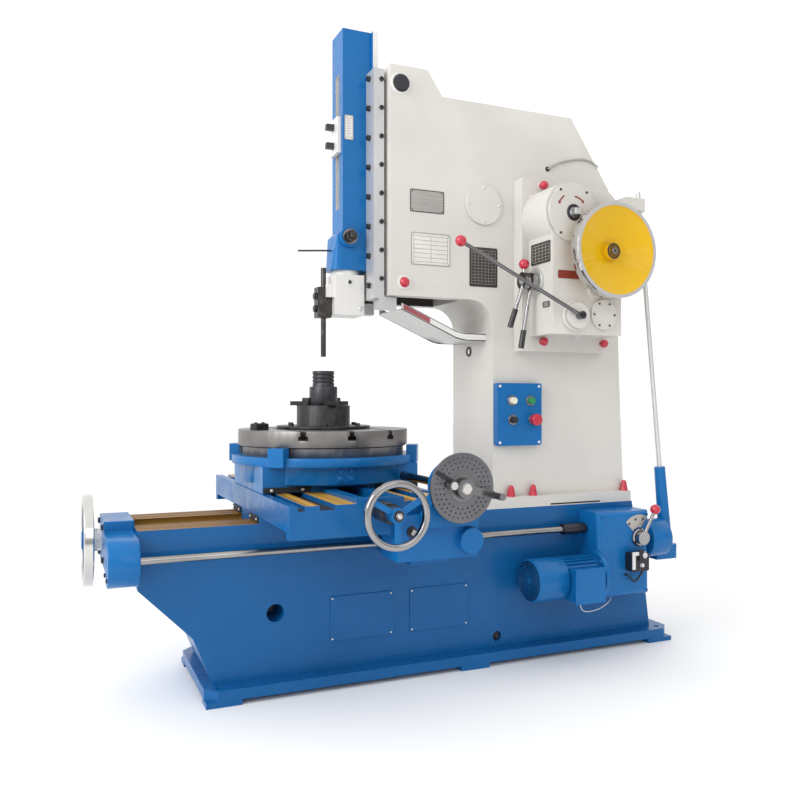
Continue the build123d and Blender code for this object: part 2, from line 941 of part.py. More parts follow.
with BuildPart() as gearbox_covers:
    bar_y(gearbox_front - cover_thickness, gearbox_front, crank_x, crank_z, stroke_cover_radius)
    bar_y(gearbox_front - cover_thickness, gearbox_front, crank_x, crank_z,
          crank_nose_radius + running_clearance, Mode.SUBTRACT)
    bar_y(gearbox_front - clutch_boss_thickness, gearbox_front, clutch_x, clutch_z, clutch_boss_radius)
    bar_y(gearbox_front - clutch_boss_thickness, gearbox_front, clutch_x, clutch_z,
          clutch_shaft_radius + running_clearance, Mode.SUBTRACT)
    bar_y(gearbox_front - cover_thickness, gearbox_front, end_cover_x, end_cover_z, end_cover_radius)
    bar_x(gearbox_left - selector_ring_thickness, gearbox_left, selector_y, selector_z,
          selector_ring_radius)
    bar_x(selector_pin_end, gearbox_left - selector_ring_thickness, selector_y, selector_z,
          selector_pin_radius)
gearbox_covers.part.label = "gearbox_covers"
export_step(gearbox_covers.part, "parts/gearbox_covers.step")

with BuildPart() as access_covers:
    for number in range(bed_cover_count):
        cover_left = bed_cover_left + number * bed_cover_pitch
        block(cover_left, cover_left + bed_cover_length, -bed_half_width - bed_cover_thickness,
              -bed_half_width, bed_cover_bottom, bed_cover_top)
    for side in (-1, 1):
        cover_y = side * (column_half_width + round_cover_thickness / 2)
        with Locations((rocker_x, cover_y, rocker_z)):
            Cylinder(round_cover_radius, round_cover_thickness, rotation=(90, 0, 0))
    bar_y(-column_half_width - round_cover_thickness, -column_half_width,
          head_cap_x, head_cap_z, head_cap_radius)
access_covers.part.label = "access_covers"
export_step(access_covers.part, "parts/access_covers.step")

with BuildPart() as capped_bolts:
    for side in (-1, 1):
        for bolt_x in foot_bolt_x:
            bar_z(ways_top - foot_bolt_depth, column_foot_top, bolt_x, side * foot_bolt_y,
                  foot_bolt_radius)
            with Locations((bolt_x, side * foot_bolt_y, column_foot_top)):
                Cone(cap_radius, cap_tip_radius, cap_height - cap_tip_radius,
                     align=(Align.CENTER, Align.CENTER, Align.MIN))
            ball(bolt_x, side * foot_bolt_y, column_foot_top + cap_height - cap_tip_radius,
                 cap_tip_radius)
    for bolt_x, bolt_z in gear_cap_spots:
        bar_y(gearbox_flange_front - gear_cap_stand, gearbox_flange_front, bolt_x, bolt_z, gear_cap_neck)
        ball(bolt_x, gearbox_flange_front - gear_cap_stand, bolt_z, gear_cap_radius)
capped_bolts.part.label = "capped_bolts"
export_step(capped_bolts.part, "parts/capped_bolts.step")

with BuildPart() as tilt_pivot_pin:
    bar_y(-column_half_width, column_half_width, pivot_x, pivot_z, pivot_radius)
    for side in (-1, 1):
        ball(pivot_x, side * column_half_width, pivot_z, pivot_radius)
tilt_pivot_pin.part.label = "tilt_pivot_pin"
export_step(tilt_pivot_pin.part, "parts/tilt_pivot_pin.step")

with BuildPart() as control_panel:
    with BuildSketch(Plane.XZ.offset(column_half_width)) as panel_sketch:
        with Locations(((panel_left + panel_right) / 2, (panel_bottom + panel_top) / 2)):
            RectangleRounded(panel_right - panel_left, panel_top - panel_bottom, panel_fillet)
    extrude(amount=-column_half_width - panel_front)
    for spot_x, spot_z in ((green_x, upper_row_z), (black_x, lower_row_z)):
        bar_y(panel_front - collar_height, panel_front, spot_x, spot_z, collar_radius)
        bar_y(panel_front - collar_height, panel_front + button_depth + button_travel + button_end_gap,
              spot_x, spot_z, button_radius + running_clearance, Mode.SUBTRACT)
    bar_y(panel_front - collar_height, panel_front, stop_x, lower_row_z, collar_radius)
    bar_y(panel_front - collar_height, panel_front + button_depth + button_travel + button_end_gap,
          stop_x, lower_row_z, stop_stem_radius + running_clearance, Mode.SUBTRACT)
    bar_y(panel_front - collar_height, panel_front, lamp_x, upper_row_z, collar_radius)
    bar_y(panel_front - collar_height - button_proud, panel_front - collar_height,
          lamp_x, upper_row_z, button_radius)
control_panel.part.label = "control_panel"
export_step(control_panel.part, "parts/control_panel.step")

with BuildPart() as green_button:
    bar_y(panel_front - collar_height - button_proud, panel_front + button_depth,
          green_x, upper_row_z, button_radius)
green_button.part.label = "green_button"
export_step(green_button.part, "parts/green_button.step")

with BuildPart() as black_button:
    bar_y(panel_front - collar_height - button_proud, panel_front + button_depth,
          black_x, lower_row_z, button_radius)
black_button.part.label = "black_button"
export_step(black_button.part, "parts/black_button.step")

with BuildPart() as stop_button:
    bar_y(panel_front - collar_height - button_proud, panel_front + button_depth,
          stop_x, lower_row_z, stop_stem_radius)
    bar_y(panel_front - collar_height - 2 * button_proud, panel_front - collar_height - button_proud / 2,
          stop_x, lower_row_z, stop_head_radius)
    fillet(stop_button.faces().sort_by(Axis.Y)[0].edges(), stop_head_round)
stop_button.part.label = "stop_button"
export_step(stop_button.part, "parts/stop_button.step")

# main drive inside the column

with BuildPart() as main_motor:
    bar_y(motor_front, motor_back, motor_x, motor_z, motor_radius)
    block(motor_x - motor_foot_half_width, motor_x + motor_foot_half_width,
          motor_front, motor_back, ways_top, motor_z)
    bar_y(motor_back, pulley_back, motor_x, motor_z,
          motor_shaft_radius - running_clearance)
main_motor.part.label = "main_motor"
export_step(main_motor.part, "parts/main_motor.step")

with BuildPart() as motor_pulley:
    bar_y(pulley_front, pulley_back, motor_x, motor_z, motor_pulley_radius)
    bar_y(pulley_front, pulley_back, motor_x, motor_z, motor_shaft_radius, Mode.SUBTRACT)
motor_pulley.part.label = "motor_pulley"
export_step(motor_pulley.part, "parts/motor_pulley.step")

with BuildPart() as driven_pulley:
    bar_y(pulley_front, pulley_back, input_x, input_z, driven_pulley_radius)
    bar_y(pulley_front, pulley_back, input_x, input_z, input_radius, Mode.SUBTRACT)
driven_pulley.part.label = "driven_pulley"
export_step(driven_pulley.part, "parts/driven_pulley.step")

with BuildPart() as drive_belts:
    for belt_index in range(belt_count):
        belt_middle = (pulley_front + pulley_back) / 2
        belt_y = belt_middle + (belt_index - (belt_count - 1) / 2) * belt_pitch
        with BuildSketch(Plane.XZ.offset(-belt_y)):
            with Locations((input_x, input_z)):
                Circle(driven_pulley_radius + belt_clearance + belt_thickness)
            with Locations((motor_x, motor_z)):
                Circle(motor_pulley_radius + belt_clearance + belt_thickness)
            make_hull()
        extrude(amount=belt_width / 2, both=True)
    with BuildSketch(Plane.XZ.offset(-pulley_back)):
        with Locations((input_x, input_z)):
            Circle(driven_pulley_radius + belt_clearance)
        with Locations((motor_x, motor_z)):
            Circle(motor_pulley_radius + belt_clearance)
        make_hull()
    extrude(amount=pulley_back - pulley_front, mode=Mode.SUBTRACT)
drive_belts.part.label = "drive_belts"
export_step(drive_belts.part, "parts/drive_belts.step")

gear_pitch_radius = gear_module * gear_teeth / 2
pinion_pitch_radius = gear_module * pinion_teeth / 2
tooth_pitch = pi * gear_module
tooth_root = tooth_root_depth * gear_module
tooth_tip = tooth_tip_height * gear_module
tooth_outline = (
    (-tooth_root - tooth_sink, -tooth_pitch * tooth_share / 2),
    (tooth_tip, -tooth_pitch * tooth_tip_share / 2),
    (tooth_tip, tooth_pitch * tooth_tip_share / 2),
    (-tooth_root - tooth_sink, tooth_pitch * tooth_share / 2),
)

with BuildPart() as input_pinion_shaft:
    bar_y(input_front, input_tail, input_x, input_z, input_radius)
    with BuildSketch(Plane.XZ.offset(-pinion_back)):
        with Locations((input_x, input_z)):
            Circle(pinion_pitch_radius - tooth_root)
            with PolarLocations(pinion_pitch_radius, pinion_teeth, start_angle=mesh_angle + 180):
                Polygon(*tooth_outline, align=None)
    extrude(amount=pinion_back - gear_front)
input_pinion_shaft.part.label = "input_pinion_shaft"
export_step(input_pinion_shaft.part, "parts/input_pinion_shaft.step")

with BuildPart() as flywheel:
    rim_inner_radius = flywheel_radius - flywheel_rim_thickness
    dish_rim_front = flywheel_front + flywheel_lip
    dish_hub_front = dish_rim_front + flywheel_dish_depth
    dish_slope = flywheel_dish_depth / (rim_inner_radius - hub_nose_radius)
    web_hub_back = dish_hub_front + flywheel_web - dish_slope * (flywheel_hub_radius - hub_nose_radius)
    with BuildSketch(Plane(origin=(input_x, 0, input_z), x_dir=(1, 0, 0), z_dir=(0, 0, 1))):
        with BuildLine():
            Polyline(
                (input_radius, flywheel_hub_back),
                (flywheel_hub_radius, flywheel_hub_back),
                (flywheel_hub_radius, web_hub_back),
                (rim_inner_radius, dish_rim_front + flywheel_web),
                (rim_inner_radius, flywheel_front + flywheel_rim_width),
                (flywheel_radius, flywheel_front + flywheel_rim_width),
                (flywheel_radius, flywheel_front),
                (rim_inner_radius, flywheel_front),
                (rim_inner_radius, dish_rim_front),
                (hub_nose_radius, dish_hub_front),
                (hub_nose_radius, input_front),
                (input_radius, input_front),
                close=True,
            )
        make_face()
    revolve(axis=Axis((input_x, 0, input_z), (0, 1, 0)))
    bar_y(input_front - hub_plate_thickness, input_front, input_x, input_z, hub_nose_radius)
    bar_y(hub_pin_front, input_front, input_x, input_z, hub_pin_radius)
flywheel.part.label = "flywheel"
export_step(flywheel.part, "parts/flywheel.step")

with BuildPart() as crank_gear:
    with BuildSketch(Plane.XZ.offset(-gear_back)):
        with Locations((crank_x, crank_z)):
            Circle(gear_pitch_radius - tooth_root)
            with PolarLocations(gear_pitch_radius, gear_teeth, start_angle=mesh_angle + 180 / gear_teeth):
                Polygon(*tooth_outline, align=None)
            Circle(crank_shaft_radius, mode=Mode.SUBTRACT)
    extrude(amount=gear_back - gear_front)
crank_gear.part.label = "crank_gear"
export_step(crank_gear.part, "parts/crank_gear.step")

with BuildPart() as crank_disc:
    bar_y(gear_back, crank_disc_back, crank_x, crank_z, crank_disc_radius)
    bar_y(crank_nose_start, gear_back, crank_x, crank_z, crank_shaft_radius)
    bar_y(gearbox_front - cover_thickness, crank_nose_start, crank_x, crank_z, crank_nose_radius)
    block(crank_x - stroke_square / 2, crank_x + stroke_square / 2,
          stroke_square_front, gearbox_front - cover_thickness,
          crank_z - stroke_square / 2, crank_z + stroke_square / 2)
    pin_block_x = crank_x + pin_radius_on_disc
    block(pin_block_x - pin_block_size / 2, pin_block_x + pin_block_size / 2,
          crank_disc_back, pin_block_back, crank_z - pin_block_size / 2, crank_z + pin_block_size / 2)
crank_disc.part.label = "crank_disc"
export_step(crank_disc.part, "parts/crank_disc.step")

with BuildPart() as rocker_arm:
    rocker_direction = (cos(radians(rocker_rest_angle)), 0, -sin(radians(rocker_rest_angle)))
    with BuildSketch(Plane(origin=(rocker_x, 0, rocker_z), x_dir=rocker_direction, z_dir=(0, -1, 0))):
        Circle(rocker_hub_radius)
        Polygon(
            (0, -rocker_hub_radius),
            (0, rocker_hub_radius),
            (-rocker_front_reach, rocker_front_half),
            (-rocker_front_reach, -rocker_front_half),
            align=None,
        )
        Polygon(
            (0, -rocker_hub_radius),
            (rocker_rear_reach, -rocker_rear_half),
            (rocker_rear_reach, rocker_rear_half),
            (0, rocker_hub_radius),
            align=None,
        )
        with Locations(((rocker_slot_inner + rocker_slot_outer) / 2, 0)):
            Rectangle(rocker_slot_outer - rocker_slot_inner, 2 * rocker_slot_half, mode=Mode.SUBTRACT)
    extrude(amount=rocker_half_thickness, both=True)
    bar_y(-column_half_width + slide_clearance, column_half_width - slide_clearance,
          rocker_x, rocker_z, rocker_shaft_radius)
rocker_arm.part.label = "rocker_arm"
export_step(rocker_arm.part, "parts/rocker_arm.step")

# levers

with BuildPart() as selector_lever_upper:
    upper_middle = (upper_hub_left + upper_hub_right) / 2
    upper_lean = upper_handle_lean / upper_handle_drop
    bar_x(upper_hub_left, upper_hub_right, selector_y, selector_z, selector_hub_radius)
    bar_between((upper_middle, selector_y, selector_z),
                (upper_middle - upper_handle_lean, selector_y, selector_z - upper_handle_drop), handle_radius)
    bar_between((upper_middle - upper_lean * (upper_handle_drop - grip_length), selector_y,
                 selector_z - upper_handle_drop + grip_length),
                (upper_middle - upper_handle_lean, selector_y, selector_z - upper_handle_drop), grip_radius)
    ball_lever((upper_middle, selector_y, selector_z + upper_ball_rise),
               (upper_middle, selector_y, selector_z), handle_radius, ball_radius)
    bar_x(selector_pin_end, upper_hub_right, selector_y, selector_z,
          selector_pin_radius + running_clearance, Mode.SUBTRACT)
selector_lever_upper.part.label = "selector_lever_upper"
export_step(selector_lever_upper.part, "parts/selector_lever_upper.step")

with BuildPart() as selector_lever_lower:
    lower_middle = (lower_hub_left + lower_hub_right) / 2
    lower_lean = lower_handle_lean / lower_handle_drop
    bar_x(lower_hub_left, lower_hub_right, selector_y, selector_z, selector_hub_radius)
    bar_between((lower_middle, selector_y, selector_z),
                (lower_middle - lower_handle_lean, selector_y, selector_z - lower_handle_drop), handle_radius)
    bar_between((lower_middle - lower_lean * (lower_handle_drop - grip_length), selector_y,
                 selector_z - lower_handle_drop + grip_length),
                (lower_middle - lower_handle_lean, selector_y, selector_z - lower_handle_drop), grip_radius)
    bar_x(lower_hub_left, lower_hub_right, selector_y, selector_z,
          selector_pin_radius + running_clearance, Mode.SUBTRACT)
selector_lever_lower.part.label = "selector_lever_lower"
export_step(selector_lever_lower.part, "parts/selector_lever_lower.step")

with BuildPart() as clutch_lever:
    bar_y(clutch_hub_back - clutch_disc_thickness, clutch_hub_back, clutch_x, clutch_z, clutch_disc_radius)
    bar_y(clutch_hub_front, clutch_hub_back, clutch_x, clutch_z, clutch_hub_radius)
    bar_y(clutch_hub_back, gearbox_front + clutch_shaft_depth, clutch_x, clutch_z, clutch_shaft_radius)
    ball_lever((clutch_ball_x, clutch_rod_y, clutch_ball_z), (clutch_x, clutch_rod_y, clutch_z),
               handle_radius, ball_radius)
clutch_lever.part.label = "clutch_lever"
export_step(clutch_lever.part, "parts/clutch_lever.step")

with BuildPart() as feed_shift_lever:
    bar_y(shift_hub_front, shift_hub_back, shift_x, shift_z, shift_hub_radius)
    bar_y(shift_hub_back, feed_box_front + shift_shaft_depth, shift_x, shift_z, shift_shaft_radius)
    shift_middle = (shift_hub_front + shift_hub_back) / 2
    ball_lever((shift_ball_x, shift_middle, shift_ball_z), (shift_x, shift_middle, shift_z),
               handle_radius, ball_radius)
feed_shift_lever.part.label = "feed_shift_lever"
export_step(feed_shift_lever.part, "parts/feed_shift_lever.step")

# power feed

with BuildPart() as feed_box:
    block(feed_box_left, feed_box_right, feed_box_front, -bed_half_width, feed_box_bottom, feed_box_top)
    fillet(feed_box.faces().sort_by(Axis.Y)[0].edges(), feed_box_fillet)
    bar_y(feed_box_front, feed_box_front + shift_shaft_depth + free_clearance, shift_x, shift_z,
          shift_shaft_radius + running_clearance, Mode.SUBTRACT)
    bar_x(feed_box_left, feed_box_left + feed_entry_depth + free_clearance, feed_shaft_y, feed_shaft_z,
          feed_shaft_radius + running_clearance, Mode.SUBTRACT)
    bar_x(feed_box_left, feed_box_left + feed_entry_depth + free_clearance, feed_motor_y, feed_motor_z,
          rotor_radius + running_clearance, Mode.SUBTRACT)
feed_box.part.label = "feed_box"
export_step(feed_box.part, "parts/feed_box.step")

with BuildPart() as limit_switch:
    block(switch_left, switch_right, switch_front, feed_box_front, switch_bottom, switch_top)
    fillet(limit_switch.edges().filter_by(Axis.Y), switch_corner)
    block(switch_left + switch_head_inset, switch_right - switch_head_inset,
          switch_front - switch_head_proud, switch_front,
          switch_top - switch_head_inset, switch_top + switch_head_rise)
limit_switch.part.label = "limit_switch"
export_step(limit_switch.part, "parts/limit_switch.step")

with BuildPart() as feed_motor:
    bar_x(feed_motor_left, cowl_right, feed_motor_y, feed_motor_z, cowl_radius)
    fillet(feed_motor.edges().filter_by(GeomType.CIRCLE).sort_by(Axis.X)[0], cowl_fillet)
    bar_x(feed_motor_left + cowl_wall, cowl_inner_end, feed_motor_y, feed_motor_z,
          cowl_radius - cowl_wall, Mode.SUBTRACT)
    bar_x(cowl_right, frame_right, feed_motor_y, feed_motor_z, frame_radius)
    bar_x(frame_right, feed_box_left, feed_motor_y, feed_motor_z, frame_radius)
    bar_x(feed_box_left - motor_flange_thickness, feed_box_left, feed_motor_y, feed_motor_z,
          motor_flange_radius)
    motor_side = Plane(origin=(cowl_right, feed_motor_y, feed_motor_z), x_dir=(0, 1, 0), z_dir=(1, 0, 0))
    with BuildSketch(motor_side):
        with PolarLocations((frame_radius + fin_radius - fin_root) / 2, fin_count):
            Rectangle(fin_radius - frame_radius + fin_root, fin_thickness)
    extrude(amount=frame_right - cowl_right)
    block(terminal_left, terminal_right, terminal_front, terminal_back, terminal_bottom, terminal_top)
    block(terminal_left - terminal_lid, terminal_right + terminal_lid,
          terminal_front - terminal_lid, terminal_front,
          terminal_bottom - terminal_lid, terminal_top + terminal_lid)
    grille_side = Plane(origin=(feed_motor_left, feed_motor_y, feed_motor_z), x_dir=(0, 1, 0), z_dir=(1, 0, 0))
    with BuildSketch(grille_side):
        with PolarLocations(grille_slot_radius, grille_slots):
            Rectangle(grille_slot_length, grille_slot_width)
    extrude(amount=cowl_wall, mode=Mode.SUBTRACT)
    bar_x(feed_motor_left + cowl_wall, feed_box_left, feed_motor_y, feed_motor_z,
          rotor_radius + running_clearance, Mode.SUBTRACT)
feed_motor.part.label = "feed_motor"
export_step(feed_motor.part, "parts/feed_motor.step")

with BuildPart() as feed_motor_fan:
    bar_x(fan_left, feed_box_left + feed_entry_depth, feed_motor_y, feed_motor_z, rotor_radius)
    bar_x(fan_left, fan_left + fan_width, feed_motor_y, feed_motor_z, 2 * rotor_radius)
    fan_side = Plane(origin=(fan_left, feed_motor_y, feed_motor_z), x_dir=(0, 1, 0), z_dir=(1, 0, 0))
    with BuildSketch(fan_side):
        with PolarLocations(fan_radius / 2 + rotor_radius / 2, fan_blades):
            Rectangle(fan_radius - rotor_radius, fan_blade_thickness)
    extrude(amount=fan_width)
feed_motor_fan.part.label = "feed_motor_fan"
export_step(feed_motor_fan.part, "parts/feed_motor_fan.step")

with BuildPart() as feed_shaft:
    bar_x(feed_shaft_left, feed_box_left + feed_entry_depth, feed_shaft_y, feed_shaft_z, feed_shaft_radius)
    bar_x(coupling_left, coupling_right, feed_shaft_y, feed_shaft_z, coupling_radius)
feed_shaft.part.label = "feed_shaft"
export_step(feed_shaft.part, "parts/feed_shaft.step")

push_foot = (push_line(push_rod_foot), push_rod_y, push_rod_foot)
push_rod_head = rod_bracket_top + rod_top_reach
push_head = (push_line(push_rod_head), push_rod_y, push_rod_head)
bore_foot_z = push_rod_foot - rod_bore_drop
bore_head_z = rod_bracket_top + rod_bore_reach

with BuildPart() as feed_push_rod:
    bar_between(push_foot, push_head, push_rod_radius)
feed_push_rod.part.label = "feed_push_rod"
export_step(feed_push_rod.part, "parts/feed_push_rod.step")

with BuildPart() as push_rod_guides:
    sleeve_low = Vector(push_line(sleeve_bottom), push_rod_y, sleeve_bottom)
    sleeve_run = Vector(push_line(sleeve_top), push_rod_y, sleeve_top) - sleeve_low
    with Locations(Plane(origin=sleeve_low, z_dir=sleeve_run)):
        Cone(sleeve_bottom_radius, sleeve_top_radius, sleeve_run.length,
             align=(Align.CENTER, Align.CENTER, Align.MIN))
    bar_x(feed_box_right, ratchet_right, ratchet_y, ratchet_z, ratchet_radius)
    block(ratchet_right - ratchet_foot_lap, ratchet_foot_right, push_rod_y - ratchet_foot_half_width,
          push_rod_y + ratchet_foot_half_width, ratchet_foot_bottom, ratchet_foot_top)
    fillet(push_rod_guides.faces().sort_by(Axis.X)[-1].edges().filter_by(Axis.Z), ratchet_foot_corner)
    block(rod_bracket_left, rear_knee[0] - rod_bracket_gap, rod_bracket_front, -column_half_width,
          rod_bracket_bottom, rod_bracket_top)
    block(rear_knee[0] - rod_arm_lap, push_line(rod_bracket_bottom), push_rod_y - rod_bush_radius,
          rod_bracket_front + rod_arm_depth, rod_bracket_bottom, rod_bracket_top)
    bar_z(rod_bracket_bottom, rod_bracket_top, push_line((rod_bracket_bottom + rod_bracket_top) / 2),
          push_rod_y, rod_bush_radius)
    bar_between((push_line(bore_foot_z), push_rod_y, bore_foot_z),
                (push_line(bore_head_z), push_rod_y, bore_head_z),
                push_rod_radius + slide_clearance, Mode.SUBTRACT)
push_rod_guides.part.label = "push_rod_guides"
export_step(push_rod_guides.part, "parts/push_rod_guides.step")

# ram guide

with BuildPart() as ram_guide:
    for side in (-1, 1):
        rail_low, rail_high = sorted((side * rail_inner, side * guide_half_width))
        block(rail_front, rail_back, rail_low, rail_high, guide_bottom, guide_top)
        foot_low, foot_high = sorted((side * guide_foot_inner, side * guide_half_width))
        block(rail_front, guide_foot_back, foot_low, foot_high, guide_foot_bottom, guide_foot_top)
    block(rail_back, web_back, -web_half_width, web_half_width, web_bottom, web_top)
    block(web_back, pivot_x, -web_half_width, web_half_width,
          pivot_z - pivot_lug_half, pivot_z + pivot_lug_half)
    bar_y(-web_half_width, web_half_width, pivot_x, pivot_z, pivot_lug_half)
    block(rail_back, web_back, -web_slot_half, web_slot_half, web_slot_bottom, web_slot_top, Mode.SUBTRACT)
    bar_y(-web_half_width, web_half_width, pivot_x, pivot_z, pivot_radius + running_clearance, Mode.SUBTRACT)
    for side in (-1, 1):
        for bolt_index in range(keeper_bolt_count):
            bar_x(rail_front, rail_back - keeper_bolt_end_gap, side * keeper_bolt_y,
                  keeper_bolt_low + bolt_index * keeper_bolt_pitch, keeper_bolt_shank, Mode.SUBTRACT)
ram_guide.part.label = "ram_guide"
export_step(ram_guide.part, "parts/ram_guide.step")

with BuildPart() as keeper_strips:
    for side in (-1, 1):
        keeper_low, keeper_high = sorted((side * keeper_inner, side * guide_half_width))
        block(keeper_front, rail_front, keeper_low, keeper_high, guide_bottom, guide_top)
        for bolt_index in range(keeper_bolt_count):
            bar_x(keeper_front, rail_front, side * keeper_bolt_y,
                  keeper_bolt_low + bolt_index * keeper_bolt_pitch, keeper_bolt_shank, Mode.SUBTRACT)
keeper_strips.part.label = "keeper_strips"
export_step(keeper_strips.part, "parts/keeper_strips.step")

with BuildPart() as guide_bolts:
    for side in (-1, 1):
        for bolt_index in range(keeper_bolt_count):
            bolt_z = keeper_bolt_low + bolt_index * keeper_bolt_pitch
            bar_x(keeper_front, rail_back - keeper_bolt_end_gap, side * keeper_bolt_y, bolt_z,
                  keeper_bolt_shank)
            head_plane = Plane(origin=(keeper_front, side * keeper_bolt_y, bolt_z), z_dir=(-1, 0, 0))
            with BuildSketch(head_plane):
                RegularPolygon(keeper_bolt_head, 6)
            extrude(amount=keeper_bolt_height)
guide_bolts.part.label = "guide_bolts"
export_step(guide_bolts.part, "parts/guide_bolts.step")

# ram

with BuildPart() as ram:
    with BuildSketch(Plane.XZ):
        with BuildLine():
            Polyline(
                (ram_front, ram_top),
                (ram_front, ram_nose_run),
                (ram_ledge_front, ram_nose_top),
                (rail_front, ram_nose_top),
                (rail_front, ram_top),
                close=True,
            )
        make_face()
    extrude(amount=ram_half_width, both=True)
    for level, front, corner in ((ram_bottom, ram_nose_front, ram_nose_round),
                                 (ram_nose_top, ram_ledge_front, ram_ledge_round)):
        with BuildSketch(Plane.XY.offset(level)) as nose_section:
            with Locations(((front + rail_front) / 2, 0)):
                Rectangle(rail_front - front, 2 * ram_half_width)
            fillet(nose_section.vertices().group_by(Axis.X)[0], corner)
    loft()
    block(rail_front + slide_clearance, rail_back - slide_clearance,
          -rail_inner + slide_clearance, rail_inner - slide_clearance, ram_bottom, ram_top)
    block(rail_front, rail_front + slide_clearance, -ram_half_width, ram_half_width, ram_bottom, ram_top)
    block(rail_back - slide_clearance, ram_lug_back, -ram_lug_half, ram_lug_half,
          ram_lug_z - ram_lug_height / 2, ram_lug_z + ram_lug_height / 2)
    block(ram_front, ram_front + ram_slot_depth, -ram_slot_half, ram_slot_half,
          ram_slot_bottom, ram_slot_top, Mode.SUBTRACT)
    bar_y(adjust_boss_y, -ram_half_width, adjust_x, adjust_z, adjust_boss_radius)
    bar_y(adjust_boss_y, adjust_depth + free_clearance, adjust_x, adjust_z,
          adjust_radius + running_clearance, Mode.SUBTRACT)
    bar_z(ram_screw_bottom - free_clearance, ram_slot_bottom, ram_screw_x, 0,
          ram_screw_radius + running_clearance, Mode.SUBTRACT)
ram.part.label = "ram"
export_step(ram.part, "parts/ram.step")

with BuildPart() as ram_screw:
    bar_z(ram_screw_bottom, ram_slot_top - slide_clearance, ram_screw_x, 0, ram_screw_radius)
ram_screw.part.label = "ram_screw"
export_step(ram_screw.part, "parts/ram_screw.step")

with BuildPart() as ram_adjusting_shaft:
    bar_y(adjust_front + adjust_square_length, adjust_depth, adjust_x, adjust_z, adjust_radius)
    block(adjust_x - adjust_square / 2, adjust_x + adjust_square / 2,
          adjust_front, adjust_front + adjust_square_length,
          adjust_z - adjust_square / 2, adjust_z + adjust_square / 2)
ram_adjusting_shaft.part.label = "ram_adjusting_shaft"
export_step(ram_adjusting_shaft.part, "parts/ram_adjusting_shaft.step")

with BuildPart() as ram_clamp_plate:
    block(clamp_front, ram_front, -clamp_half_width, clamp_half_width, clamp_bottom, clamp_top)
    clamp_middle = (clamp_bottom + clamp_top) / 2
    for rise in (-clamp_bolt_rise, clamp_bolt_rise):
        block(clamp_bolt_front, clamp_front, -clamp_bolt_size / 2, clamp_bolt_size / 2,
              clamp_middle + rise - clamp_bolt_size / 2, clamp_middle + rise + clamp_bolt_size / 2)
ram_clamp_plate.part.label = "ram_clamp_plate"
export_step(ram_clamp_plate.part, "parts/ram_clamp_plate.step")

with BuildPart() as tool_head:
    block(tool_head_front, tool_head_back, -tool_head_half, tool_head_half,
          tool_head_bottom, ram_bottom - head_neck_height)
    bar_z(ram_bottom - head_neck_height, ram_bottom, (tool_head_front + tool_head_back) / 2, 0,
          head_neck_radius)
    for side in (-1, 1):
        ear_low, ear_high = sorted((side * ear_inner, side * ear_outer))
        block(ear_front, tool_head_front, ear_low, ear_high,
              clapper_z - ear_half_height, clapper_z + ear_half_height)
    bar_y(-ear_outer, ear_outer, clapper_x, clapper_z, clapper_radius)
tool_head.part.label = "tool_head"
export_step(tool_head.part, "parts/tool_head.step")

with BuildPart() as tool_holder:
    block(holder_front, holder_back, -holder_half, holder_half, holder_bottom, holder_top)
    bar_y(-holder_half, holder_half, clapper_x, clapper_z, clapper_radius + running_clearance, Mode.SUBTRACT)
    bar_z(tool_bar_bottom, tool_bar_top, tool_x, 0, tool_bar_radius)
tool_holder.part.label = "tool_holder"
export_step(tool_holder.part, "parts/tool_holder.step")

# saddle

saddle_left = table_x - saddle_half_length
saddle_right = table_x + saddle_half_length

with BuildPart() as saddle:
    block(saddle_left, saddle_right, -saddle_half_width, saddle_half_width, wing_bottom, saddle_top)
    block(saddle_left, saddle_right, -bed_half_width, bed_half_width, ways_top + slide_clearance, wing_bottom)
    for side in (-1, 1):
        lip_low, lip_high = sorted((side * (saddle_half_width - lip_width), side * saddle_half_width))
        block(saddle_left, saddle_right, lip_low, lip_high, lip_bottom, wing_bottom)
        for inner, outer in ((inner_way_outer, outer_way_inner), (outer_way_outer, rim_inner)):
            groove_low, groove_high = sorted((table_x + side * inner, table_x + side * outer))
            block(groove_low, groove_high, -saddle_half_width, saddle_half_width,
                  saddle_top - saddle_groove_depth, saddle_top, Mode.SUBTRACT)
    block(table_x - cross_guide_half, table_x + cross_guide_half, -saddle_half_width, saddle_half_width,
          saddle_top, cross_guide_top)
    block(saddle_left, saddle_right,
          -channel_half_width + slide_clearance, channel_half_width - slide_clearance,
          tongue_bottom, ways_top + slide_clearance)
    block(table_x - long_nut_half_length, table_x + long_nut_half_length,
          -long_nut_half_width, long_nut_half_width, long_nut_bottom, tongue_bottom)
    bar_x(table_x - long_nut_half_length, table_x + long_nut_half_length, 0, long_screw_z,
          long_screw_radius + running_clearance, Mode.SUBTRACT)
    block(table_x - cross_channel_half, table_x + cross_channel_half, -cross_channel_end, cross_channel_end,
          cross_channel_floor, cross_guide_top, Mode.SUBTRACT)
    bar_y(-saddle_half_width, cross_tail + free_clearance, table_x, cross_screw_z,
          cross_journal_radius + running_clearance, Mode.SUBTRACT)
saddle.part.label = "saddle"
export_step(saddle.part, "parts/saddle.step")

